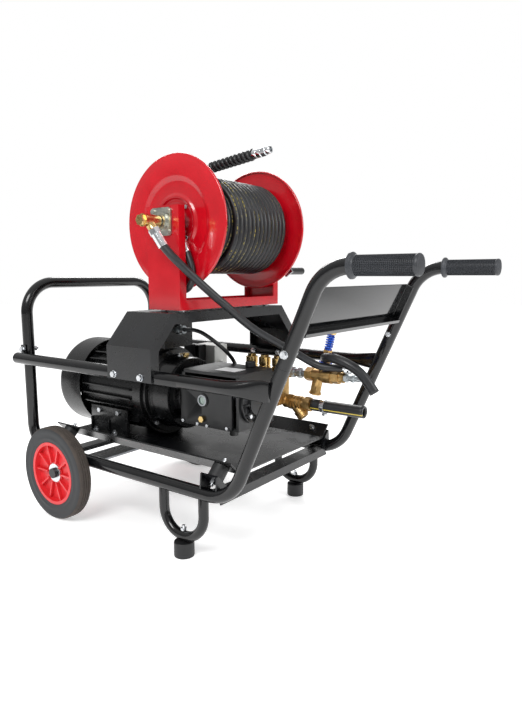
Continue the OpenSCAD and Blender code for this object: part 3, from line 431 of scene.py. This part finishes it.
whip = {
    "start": (-84, -60, 935.8),
    "rise": 7,
    "length": 194,
    "guardFrom": 48,
    "guardPitch": 13,
    "guardWire": 6,
    "guardRadius": 7.8,
}


def metres(points):
    return [Vector(p) * mm for p in points]


def makeFeedHose(settings):
    route = smoothRoute(metres(settings["route"]), 2)
    radius = settings["radius"] * mm
    hose = linkPiece("feed_hose_cover", hoseMesh("feed_hose_cover", route, radius, 20), [hoseCover], "trolley",
                     ("feed_hose",))
    end, direction = route[-1], (route[-1] - route[-2]).normalized()
    ferrule = turnedPiece("feed_hose_ferrule", [(0, -22), (11.2, -22), (11.8, -21), (11.8, -12), (11, -10), (11.8, -8),
                          (11.8, 0), (9, 2), (9, 6), (0, 6)], end, direction, chromePlate, "trolley", steps=32)
    tuple(route[0])
    lengthOf(route)


def makeBypassHose(settings):
    route = smoothRoute(metres(settings["route"]), 2)
    radius = settings["radius"] * mm
    mesh = hoseMesh("bypass_hose_cover", route, radius, 24, capped=False)
    hose = linkPiece("bypass_hose_cover", mesh, [hoseCover], "trolley", ("bypass_hose",))
    addWall(hose, settings["wall"])
    tuple(route[0])
    lengthOf(route)


# The hose winds near to far and back, one layer over the other, each turn leaning the same way
def windingRoute(settings, centre):
    route = []
    perTurn = settings["pointsPerTurn"]
    spot, angle = settings["nearestY"], -110.0
    heading = 1
    layers = settings["layerRadii"]
    for i, radius in enumerate(layers):
        limit = settings["furthestY"] if heading > 0 else (settings["lastY"] if i == len(layers) - 1
                                                           else settings["nearestY"])
        while (limit - spot) * heading > 0:
            lean = settings["sway"] * math.sin(math.radians(angle))
            route.append((radius, angle, spot + lean))
            angle += 360 / perTurn
            spot += heading * settings["turnPitch"] / perTurn
        if i < len(layers) - 1:
            # half a turn on the way up to the next layer
            climb = perTurn // 2
            for k in range(climb):
                rise = (1 - math.cos(math.pi * k / climb)) / 2
                lean = settings["sway"] * math.sin(math.radians(angle))
                route.append((radius + (layers[i + 1] - radius) * rise, angle, spot + lean))
                angle += 360 / perTurn
        heading = -heading
    turned = [(r * mm, math.radians(a), y * mm) for r, a, y in route]
    return [Vector((centre.x + r * math.cos(a), y, centre.z + r * math.sin(a))) for r, a, y in turned], angle


def makeWinding(settings):
    low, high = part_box("reel_drum")
    route, lastAngle = windingRoute(settings, (low + high) / 2)
    mesh = hoseMesh("jetting_hose_winding", route, settings["radius"] * mm, 12)
    hose = linkPiece("jetting_hose_winding", mesh, [dashedHose], "reel", ("wound_hose",))
    print("winding", round(lengthOf(route), 2), "m, ends at", round(lastAngle % 360), "degrees")
    tuple(route[0])
    lengthOf(route)
    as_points(route)


def makeWhip(settings):
    start = Vector(settings["start"]) * mm
    rise = math.radians(settings["rise"])
    direction = Vector((math.cos(rise), 0, math.sin(rise)))
    length = settings["length"] * mm
    route = [start + direction * (length * k / 20) for k in range(21)]
    hose = linkPiece("jetting_hose_end", hoseMesh("jetting_hose_end", route, jettingHose["radius"] * mm, 20),
                     [dashedHose], "trolley", ("hose_end",))
    side = Vector((0, 1, 0))
    up = direction.cross(side)
    turns = (settings["length"] - settings["guardFrom"] - 2 * settings["guardWire"]) / settings["guardPitch"]
    coil = []
    for k in range(int(turns * 20) + 1):
        a = math.tau * k / 20
        along = (settings["guardFrom"] + settings["guardWire"] + settings["guardPitch"] * k / 20) * mm
        out = (side * math.cos(a) + up * math.sin(a)) * (settings["guardRadius"] * mm)
        coil.append(start + direction * along + out)
    guard = linkPiece("spiral_guard", hoseMesh("spiral_guard", coil, settings["guardWire"] * mm, 12), [blackNylon],
                      "trolley")
    end = start + direction * length
    ferrule = turnedPiece("hose_end_ferrule", [(0, -4), (10.6, -4), (11, -3), (11, 5), (10.2, 7), (11, 9), (11, 18),
                          (9, 20), (9, 32), (8.4, 33), (9.2, 35), (9.2, 44), (8, 46), (5, 46), (5, 34), (0, 34)],
                          end, direction, chromePlate, "trolley", steps=40)
    bm = bmesh.new()
    hexPrism(bm, end, direction, 12, 12, start=20)
    nut = linkPiece("hose_end_nut", meshOf("hose_end_nut", bm), [chromePlate], "trolley")
    addBevel(nut, 0.8)
    tuple(route[0])
    lengthOf(route)


makeFeedHose(feedHose)
makeBypassHose(bypassHose)
makeWinding(jettingHose)
makeWhip(whip)
print("cords made")


# ---- trolley frame ----

# Each paint or finish with the nodes it covers and the width of their eased edges
frameFinishes = [
    (framePowder, 0.5, ("side_tube_left", "side_tube_right", "rear_hoop", "handle_tube_left", "handle_tube_right",
                        "foot_loops")),
    (sheetPowder, 0.9, ("cross_members", "tray", "reel_table")),
    (panelPowder, 0.9, ("handle_panel",)),
]
axleSettings = {"capLength": 8.05, "washerFrom": 10.4}


def finishNodes(finishes):
    for material, edge, nodes in finishes:
        for node in nodes:
            refineNode(node, [material], edge)


def makeFrame(settings):
    finishNodes(frameFinishes)
    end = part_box("axle")[1].y
    capAt, washerAt = end - settings["capLength"] * mm, end - settings["washerFrom"] * mm
    refineNode("axle", [turnedSteel, zincPlate, blackNylon], 0.8,
               chooseFace=lambda centre: 2 if abs(centre.y) > capAt else 1 if abs(centre.y) > washerAt else 0)
    finishNodes([(mountRubber, 2.5, ("rubber_feet",)), (mountRubber, 1.5, ("rubber_mounts",)),
                 (zincPlate, 0.6, ("machine_bolts", "mount_studs"))])


# Each section of the rail's pinched end: its place, its step inwards, half its width and half its height
railSettings = {
    "tubeRadius": 16,
    "bladeHalf": 23,  # from the bottom of the node's box to the middle of its tube
    "roundTo": 60,
    "sections": [
        (58, 0, 15.95, 15.95), (110, 0, 16, 16), (160, 0, 16, 16), (190, -1, 15.8, 16.2), (214, -4, 14.5, 17.2),
        (236, -8.5, 11.5, 19), (254, -12, 8, 20.8), (270, -13.8, 5.4, 22.2), (284, -13.8, 4.2, 22.6),
        (297, -13.2, 3.8, 21),
    ],
    "sides": 36,
}


# A middle rail whose front end bends in and flattens towards the front tube
def makeRail(side, settings):
    node = "middle_rail_" + side
    low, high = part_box(node)
    outward = 1 if high.y > 0 else -1
    middle = outward * (max(abs(low.y), abs(high.y)) - settings["tubeRadius"] * mm)
    height = low.z + settings["bladeHalf"] * mm
    bm = mergedCopy(node)
    front = [f for f in bm.faces if f.calc_center_median().x > settings["roundTo"] * mm]
    bmesh.ops.delete(bm, geom=front, context="FACES")
    rings = []
    sides = settings["sides"]
    for x, step, wide, tall in smoothRoute(settings["sections"], 4):
        # the flatter the section, the squarer its corners
        bend = 0.5 + 0.5 * wide / tall
        ring = []
        for k in range(sides):
            c, d = math.cos(math.tau * k / sides), math.sin(math.tau * k / sides)
            across = step + wide * math.copysign(abs(c) ** bend, c)
            up = tall * math.copysign(abs(d) ** bend, d)
            ring.append(bm.verts.new((x * mm, middle + outward * across * mm, height + up * mm)))
        rings.append(ring)
    for a, b in zip(rings, rings[1:]):
        for k in range(sides):
            bm.faces.new((a[k], a[k - 1], b[k - 1], b[k]))
    bm.faces.new(rings[-1])
    bmesh.ops.recalc_face_normals(bm, faces=bm.faces)
    rail = linkPiece(node + "_tube", meshOf(node, bm), [framePowder], bodyOf[node], (node,))
    addBevel(rail, 0.5)


gripSettings = {"facesAround": 36, "rings": 32, "dimple": 1.2, "web": 0.7, "rimRadius": 25, "rimWidth": 6}


# A rubber sleeve with a stop flange and rows of small dimples
def makeGrip(side, settings):
    node = "grip_" + side
    low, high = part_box(node)
    y, z = (low.y + high.y) / 2, (low.z + high.z) / 2
    length = (high.x - low.x) / mm
    rim, width = settings["rimRadius"], settings["rimWidth"]
    flange = [(0, 0), (rim - 1, 0), (rim, 1), (rim, 4.5), (rim - 1.5, width), (20.5, width + 2)]
    first, last = width + 6, length - 8
    body = [(19.4, first + (last - first) * k / settings["rings"]) for k in range(settings["rings"] + 1)]
    end = [(20, length - 6), (20, length - 3), (18.5, length - 0.8), (16, length), (0, length)]
    bm = bmesh.new()
    turnProfile(bm, flange + [(19.6, first - 2)] + body + end, (low.x, y, z), (1, 0, 0), settings["facesAround"])
    closeSurface(bm)
    waffle = [f for f in bm.faces if low.x + first * mm < f.calc_center_median().x < low.x + last * mm]
    bmesh.ops.inset_individual(bm, faces=waffle, thickness=settings["web"] * mm, depth=-settings["dimple"] * mm)
    linkPiece(node + "_sleeve", meshOf(node + "_sleeve", bm), [gripRubber], bodyOf[node], (node,))


makeFrame(axleSettings)
makeRail("left", railSettings)
makeRail("right", railSettings)
makeGrip("left", gripSettings)
makeGrip("right", gripSettings)
print("frame made")


# ---- wheels ----

tyreSettings = {"grooveDepth": 2.2, "grooveWidth": 1.6, "grooves": (-7, 0, 7), "beadHeight": 0.9, "treadDepth": 4.5}


# Tread with fine grooves, round shoulders, and raised rings on the walls
def tyreProfile(settings, inner, outer, halfWidth):
    bead = -halfWidth + 0.8 - settings["beadHeight"]
    wall = [(inner, -halfWidth + 3), (inner + 2, -halfWidth + 1.2), (inner + 8, -halfWidth + 0.8), (inner + 10, bead),
            (inner + 13, bead), (inner + 15, -halfWidth + 0.6), (outer - 17, -halfWidth + 0.3),
            (outer - 15, -halfWidth - 0.1), (outer - 12, -halfWidth)]
    shoulder = [(outer - 9 + 9 * math.sin(a), -halfWidth + 9 - 9 * math.cos(a))
                for a in (math.radians(12 * k) for k in range(1, 7))]
    half, floor = settings["grooveWidth"] / 2, outer - settings["grooveDepth"]
    crown = []
    for place in settings["grooves"]:
        crown += [(outer, place - half - 0.4), (outer - 0.5, place - half), (floor, place - half * 0.6),
                  (floor, place + half * 0.6), (outer - 0.5, place + half), (outer, place + half + 0.4)]
    left = wall + shoulder
    return left + crown + [(r, -h) for r, h in reversed(left)]


def makeWheel(side):
    low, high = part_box("tyre_" + side)
    rimLow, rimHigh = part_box("rim_" + side)
    centre = (low + high) / 2
    body = bodyOf["tyre_" + side]
    outer = (high.z - low.z) / 2 / mm
    inner = (rimHigh.z - rimLow.z) / 2 / mm
    profile = tyreProfile(tyreSettings, inner, outer, (high.y - low.y) / 2 / mm - 0.2)
    tyre = turnedPiece("tyre_" + side + "_solid", profile + [profile[0]], centre, (0, 1, 0), tyreRubber, body,
                       ("tyre_" + side,), steps=128)
    tyre.data.materials.append(treadRubber)
    for face in tyre.data.polygons:
        if math.hypot(face.center.x - centre.x, face.center.z - centre.z) > (outer - tyreSettings["treadDepth"]) * mm:
            face.material_index = 1
    refineNode("rim_" + side, [redPlastic], 1.2)


makeWheel("left")
makeWheel("right")
print("wheels made")


# ---- motor ----

motorFinishes = [(castEnamel, 0.9, ("motor_housing", "fan_cover", "motor_feet", "bell_housing"))]
motorSettings = {
    "glandLength": 21.8,  # the terminal box's gland, from the end and the top of the node's box
    "glandBelow": 10,
    "starterFrom": 70,  # the starter box is longer than this, the other solids of its node are not
}


def makeMotor(settings):
    finishNodes(motorFinishes)
    for node, material in (("stator_core", coreSteel), ("rotor", coreSteel), ("crankshaft", turnedSteel),
                           ("cooling_fan", blackNylon)):
        finishNode(node, material)
    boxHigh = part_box("terminal_box")[1]
    glandFrom, glandTop = boxHigh.x - settings["glandLength"] * mm, boxHigh.z - settings["glandBelow"] * mm
    refineNode("terminal_box", [castEnamel, galvanised], 1.6,
               chooseFace=lambda centre: 1 if centre.x > glandFrom and centre.z < glandTop else 0)
    refineNode("control_boxes", [blackNylon, greyAbs], 1.4,
               choose=lambda low, high: 1 if high.x - low.x > settings["starterFrom"] * mm else 0)
    refineNode("switch_knob", [redNylon], 1.2)


cableRoute = [
    (-154, -40, 525), (-140, -40, 526), (-122, -38, 526), (-100, -31, 520), (-80, -20, 506), (-64, -4, 488),
    (-54, 16, 468), (-52, 38, 448), (-58, 60, 430), (-72, 82, 416), (-92, 100, 409), (-114, 112, 408),
    (-134, 121, 408), (-153, 124, 408),
]


def makeMotorCable():
    route = smoothRoute(metres(cableRoute), 4)
    mesh = hoseMesh("motor_lead", route, 5.5 * mm, 16)
    linkPiece("motor_lead", mesh, [cableJacket], "trolley", ("motor_cable",))


makeMotor(motorSettings)
makeMotorCable()
print("motor made")


# ---- pump ----

bezelSettings = {"width": 28}  # the sight glass's metal ring is wider than this, its lens is not


def makePump(settings):
    refineNode("crankcase", [pumpEnamel], 2.0)
    refineNode("crankcase_covers", [pumpEnamel], 1.2)
    refineNode("sight_glass", [sightLens, turnedSteel], 0.5,
               choose=lambda low, high: 1 if high.x - low.x > settings["width"] * mm else 0)
    refineNode("brass_plugs", [machinedBrass], 0.8)
    refineNode("top_cover", [blackNylon], 1.8)
    refineNode("manifold", [forgedBrass], 2.4)
    refineNode("valve_caps", [machinedBrass], 1.0)
    refineNode("oil_cap", [blackNylon], 1.6)
    finishNode("plungers", alumina)
    refineNode("unloader_valve", [forgedBrass], 1.0)
    refineNode("unloader_knob", [machinedBrass], 1.2)
    refineNode("outlet_nipples", [galvanised], 0.7)
    refineNode("y_strainer", [forgedBrass], 1.0)
    refineNode("hose_clamp", [zincPlate], 0.5)


labelSettings = {"width": 68, "depth": 48, "thickness": 0.5, "corner": 3, "centre": (10, -42)}


# A blank white label on the pump's cover
def makeLabel(settings):
    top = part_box("top_cover")[1].z
    place = Matrix.Translation((settings["centre"][0] * mm, settings["centre"][1] * mm, top + 0.2 * mm))
    bm = bmesh.new()
    bmesh.ops.create_cube(bm, size=1.0, matrix=place @ Matrix.Diagonal(
        (settings["width"] * mm, settings["depth"] * mm, settings["thickness"] * mm, 1)))
    upright = [e for e in bm.edges if abs(e.verts[0].co.z - e.verts[1].co.z) > 0.2 * mm]
    bmesh.ops.bevel(bm, geom=upright, offset=settings["corner"] * mm, affect="EDGES", segments=5, profile=0.5,
                    material=-1)
    linkPiece("blank_label", meshOf("blank_label", bm), [whiteVinyl], "trolley")


springSettings = {
    "knobHeight": 124,  # the middle of the knob, from the valve's foot
    "turns": 5.5,
    "wire": 2.1,
    "radius": 9.2,
    "from": 76,
    "to": 112,
    "tilt": 12,
    "pointsPerTurn": 24,
}


# Blue spring of the unloader with its two seats
def makeSpring(settings):
    low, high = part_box("unloader_knob")
    top = (low + high) / 2
    tilt = math.radians(settings["tilt"])
    axis = Vector((math.sin(tilt), 0, math.cos(tilt)))
    foot = top - axis * (settings["knobHeight"] * mm)
    side = Vector((0, 1, 0))
    out = axis.cross(side)
    count = int(settings["turns"] * settings["pointsPerTurn"])
    coil = []
    for k in range(count + 1):
        a = math.tau * k / settings["pointsPerTurn"]
        along = settings["from"] + (settings["to"] - settings["from"]) * k / count
        coil.append(foot + axis * (along * mm) + (side * math.cos(a) + out * math.sin(a)) * (settings["radius"] * mm))
    linkPiece("spring_coil", hoseMesh("spring_coil", coil, settings["wire"] * mm, 12), [blueEpoxy], "trolley",
              ("unloader_spring",))
    turnedPiece("spring_core", [(0, 72.5), (10, 72.5), (10, 75), (5.6, 75.2), (5.6, 112.5), (10, 112.7), (10, 114.5),
                (0, 114.5)], foot, axis, blueEpoxy, "trolley", steps=32)
    turnedPiece("lock_ring", [(13.2, 19), (16.5, 19), (17.6, 20.5), (17.6, 36.5), (16.5, 38), (13.2, 38), (13.2, 19)],
                foot, axis, blueEpoxy, "trolley", steps=40)


inletHoseSettings = {"wall": 4.5}


def makeInletHose(settings):
    low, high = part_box("inlet_hose")
    centre = (low + high) / 2
    route = [Vector((low.x + (high.x - low.x) * k / 20, centre.y, centre.z)) for k in range(21)]
    mesh = hoseMesh("suction_hose", route, (high.z - low.z) / 2, 32, capped=False)
    hose = linkPiece("suction_hose", mesh, [stripedHose], "trolley", ("inlet_hose",))
    addWall(hose, settings["wall"])


makePump(bezelSettings)
makeLabel(labelSettings)
makeSpring(springSettings)
makeInletHose(inletHoseSettings)
print("pump made")


# ---- reel ----

reelLow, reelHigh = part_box("reel_drum")
reelCentre = (reelLow + reelHigh) / 2
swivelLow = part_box("swivel")[0]
swivelSettings = {"blockLength": 58, "outletFrom": 23.5}
discSettings = {"thickness": 1.6, "hubRadius": 14, "hubRise": 4.5, "outerRise": 6.5, "rimRadius": 2.8}


# A pressed disc: flat hub, a ring, a shallow step, and a rolled rim; rises are outwards in millimetres
def discProfile(settings, radius):
    hub, step, rise = radius * 0.38, radius * 0.66, settings["outerRise"]
    profile = [(settings["hubRadius"], 1), (hub - 8, 1), (hub - 5, 1.3), (hub - 2, settings["hubRise"] - 0.6),
               (hub, settings["hubRise"]), (hub + 2, settings["hubRise"]), (hub + 4, settings["hubRise"] - 0.6),
               (hub + 8, 0.6), (hub + 11, 0), (step - 9, 0), (step - 6, 0.4), (step + 2, rise - 1.6),
               (step + 6, rise - 0.9), (radius * 0.86, rise), (radius - 8, rise + 0.4), (radius - 5, rise - 0.2)]
    roll = settings["rimRadius"]
    lip = [(radius - roll + roll * math.sin(a), rise - 2.8 + roll * math.cos(a))
           for a in (math.radians(-10 + 24 * k) for k in range(9))]
    return profile + lip


def makeReelDisc(name, y, outward, radius, centre, replaced=()):
    bm = bmesh.new()
    turnProfile(bm, discProfile(discSettings, radius), (centre.x, y, centre.z), (0, outward, 0), 144)
    bmesh.ops.recalc_face_normals(bm, faces=bm.faces)
    disc = linkPiece(name, meshOf(name, bm, 45), [redPowder], "reel", replaced)
    sheet = disc.modifiers.new("sheet", "SOLIDIFY")
    sheet.thickness = discSettings["thickness"] * mm
    sheet.offset = 0


# Zinc flanges and screws, a brass block, and plated nut and ferrule on its outlet
def swivelMaterial(centre):
    if centre.y > swivelLow.y + swivelSettings["blockLength"] * mm:
        return 0
    away = math.hypot(centre.x - reelCentre.x, centre.z - reelCentre.z)
    return 2 if away > swivelSettings["outletFrom"] * mm else 1


def makeReel():
    low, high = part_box("reel_drum")
    centre = (low + high) / 2
    radius = (high.z - low.z) / 2 / mm
    makeReelDisc("reel_disc_near", low.y + 4.4 * mm, -1, radius - 0.3, centre, ("reel_drum",))
    makeReelDisc("reel_disc_far", high.y - 3.4 * mm, 1, radius - 0.3, centre)
    turnedPiece("reel_core", [(54, 6), (57, 6), (57, 318), (54, 318), (54, 6)], (centre.x, low.y, centre.z), (0, 1, 0),
                redPowder, "reel", steps=96)
    finishNodes([(turnedSteel, 1.0, ("reel_shaft",)), (redPowder, 1.4, ("reel_stand",))])
    refineNode("swivel", [castZinc, machinedBrass, chromePlate], 1.0, chooseFace=swivelMaterial)
    refineNode("crank_grip", [blackNylon], 2.0)


linkSettings = {
    "route": [(30, -34), (37, -49), (44, -65), (52, -81), (59, -97), (64, -113), (65, -130), (60, -146), (50, -158),
              (37, -164)],
    "standOff": 9,
    "radius": 8,
    "ferruleRadius": 9.6,
}


# The short hose that carries the water from the hub to the winding, outside the near disc
def makeHoseLink(settings):
    low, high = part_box("reel_drum")
    centre = (low + high) / 2
    y = low.y - settings["standOff"] * mm
    points = [Vector((centre.x + x * mm, y, centre.z + z * mm)) for x, z in settings["route"]]
    points.append(points[-1] + Vector((-10 * mm, 7 * mm, 0)))
    route = smoothRoute(points, 3)
    linkPiece("hub_hose", hoseMesh("hub_hose", route, settings["radius"] * mm, 16), [hoseCover], "reel")
    direction = (points[3] - points[0]).normalized()
    wide = settings["ferruleRadius"]
    profile = [(0, -8), (7, -8), (7, 6), (wide, 8), (wide, 22), (9, 24), (wide, 26), (wide, 40), (8.2, 42), (0, 42)]
    turnedPiece("hub_ferrule", profile, points[0], direction, chromePlate, "reel", steps=32)


screwSettings = {"circle": 52, "count": 4, "head": 5.5, "height": 4}


# Cap screws that hold each disc to the hub
def makeHubScrews(settings):
    low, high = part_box("reel_drum")
    centre = (low + high) / 2
    bm = bmesh.new()
    for y, outward in ((low.y + 2.4 * mm, -1), (high.y - 1.4 * mm, 1)):
        for k in range(settings["count"]):
            a = math.tau * (k + 0.5) / settings["count"]
            spot = Vector((centre.x + settings["circle"] * mm * math.cos(a), y,
                           centre.z + settings["circle"] * mm * math.sin(a)))
            hexPrism(bm, spot, (0, outward, 0), settings["head"], settings["height"], twist=a)
    screws = linkPiece("hub_screws", meshOf("hub_screws", bm), [zincPlate], "reel")
    addBevel(screws, 0.6)


makeReel()
makeHubScrews(screwSettings)
makeHoseLink(linkSettings)
print("reel made")


# ---- floor and light ----

studioSettings = {
    "backdrop": "#ffffff",
    "sky": ((0.0, "#606060"), (0.47, "#6c6c6c"), (0.56, "#b4b4b4"), (0.8, "#dedede"), (1.0, "#ffffff")),
    "skyStrength": 0.9,
    "floor": "#fbfbfb",
    "floorSize": 12,
    "floorGlow": 0.42,
    "target": (0, 0, 0.45),
    "lamps": {  # place, size and power
        "key": ((0.6, -2.6, 2.6), (1.8, 1.0), 70),
        "fill": ((2.6, 0.4, 1.6), (1.4, 1.2), 34),
        "back": ((-1.8, 2.2, 2.4), (2.2, 1.0), 60),
    },
}


def addAreaLight(name, place, target, size, power):
    lamp = bpy.data.lights.new(name, "AREA")
    lamp.shape = "RECTANGLE"
    lamp.size, lamp.size_y = size
    lamp.energy = power
    holder = bpy.data.objects.new(name, lamp)
    bpy.context.scene.collection.objects.link(holder)
    toward = Vector(target) - Vector(place)
    holder.matrix_world = Matrix.Translation(place) @ toward.to_track_quat("-Z", "Y").to_matrix().to_4x4()


def addFloor(settings):
    bm = bmesh.new()
    bmesh.ops.create_grid(bm, x_segments=1, y_segments=1, size=settings["floorSize"])
    mesh = bpy.data.meshes.new("floor")
    bm.to_mesh(mesh)
    bm.free()
    floor = bpy.data.objects.new("floor", mesh)
    bpy.context.scene.collection.objects.link(floor)
    material = bpy.data.materials.new("mattPaperFloor")
    material.use_nodes = True
    shader = material.node_tree.nodes["Principled BSDF"]
    shader.inputs["Base Color"].default_value = linearColor(settings["floor"])
    shader.inputs["Roughness"].default_value = 0.9
    shader.inputs["Emission Color"].default_value = linearColor(settings["floor"])
    shader.inputs["Emission Strength"].default_value = settings["floorGlow"]
    mesh.materials.append(material)


# White for the camera, and for the light a sky that darkens towards the ground
def addSky(settings):
    world = bpy.data.worlds.new("studio")
    bpy.context.scene.world = world
    world.use_nodes = True
    tree = world.node_tree
    backdrop = tree.nodes["Background"]
    backdrop.inputs["Color"].default_value = linearColor(settings["backdrop"])
    direction = addNode(tree, "ShaderNodeTexCoord").outputs["Generated"]
    split = addNode(tree, "ShaderNodeSeparateXYZ", {}, {"Vector": direction})
    height = addNode(tree, "ShaderNodeMapRange", {"From Min": -1.0, "From Max": 1.0}, {"Value": split.outputs["Z"]})
    ramp = addNode(tree, "ShaderNodeValToRGB", {}, {"Fac": height.outputs["Result"]})
    for place, code in settings["sky"][1:-1]:
        ramp.color_ramp.elements.new(place)
    for element, (place, code) in zip(ramp.color_ramp.elements, settings["sky"]):
        element.position = place
        element.color = linearColor(code)
    sky = addNode(tree, "ShaderNodeBackground", {"Strength": settings["skyStrength"]},
                  {"Color": ramp.outputs["Color"]})
    seen = addNode(tree, "ShaderNodeLightPath").outputs["Is Camera Ray"]
    mixed = addNode(tree, "ShaderNodeMixShader", {}, {0: seen, 1: sky.outputs[0], 2: backdrop.outputs[0]})
    tree.links.new(mixed.outputs[0], tree.nodes["World Output"].inputs["Surface"])


addFloor(studioSettings)
addSky(studioSettings)
bpy.context.scene.view_settings.view_transform = "Standard"
for lampName, (lampPlace, lampSize, lampPower) in studioSettings["lamps"].items():
    addAreaLight(lampName, lampPlace, studioSettings["target"], lampSize, lampPower)
print("studio made")
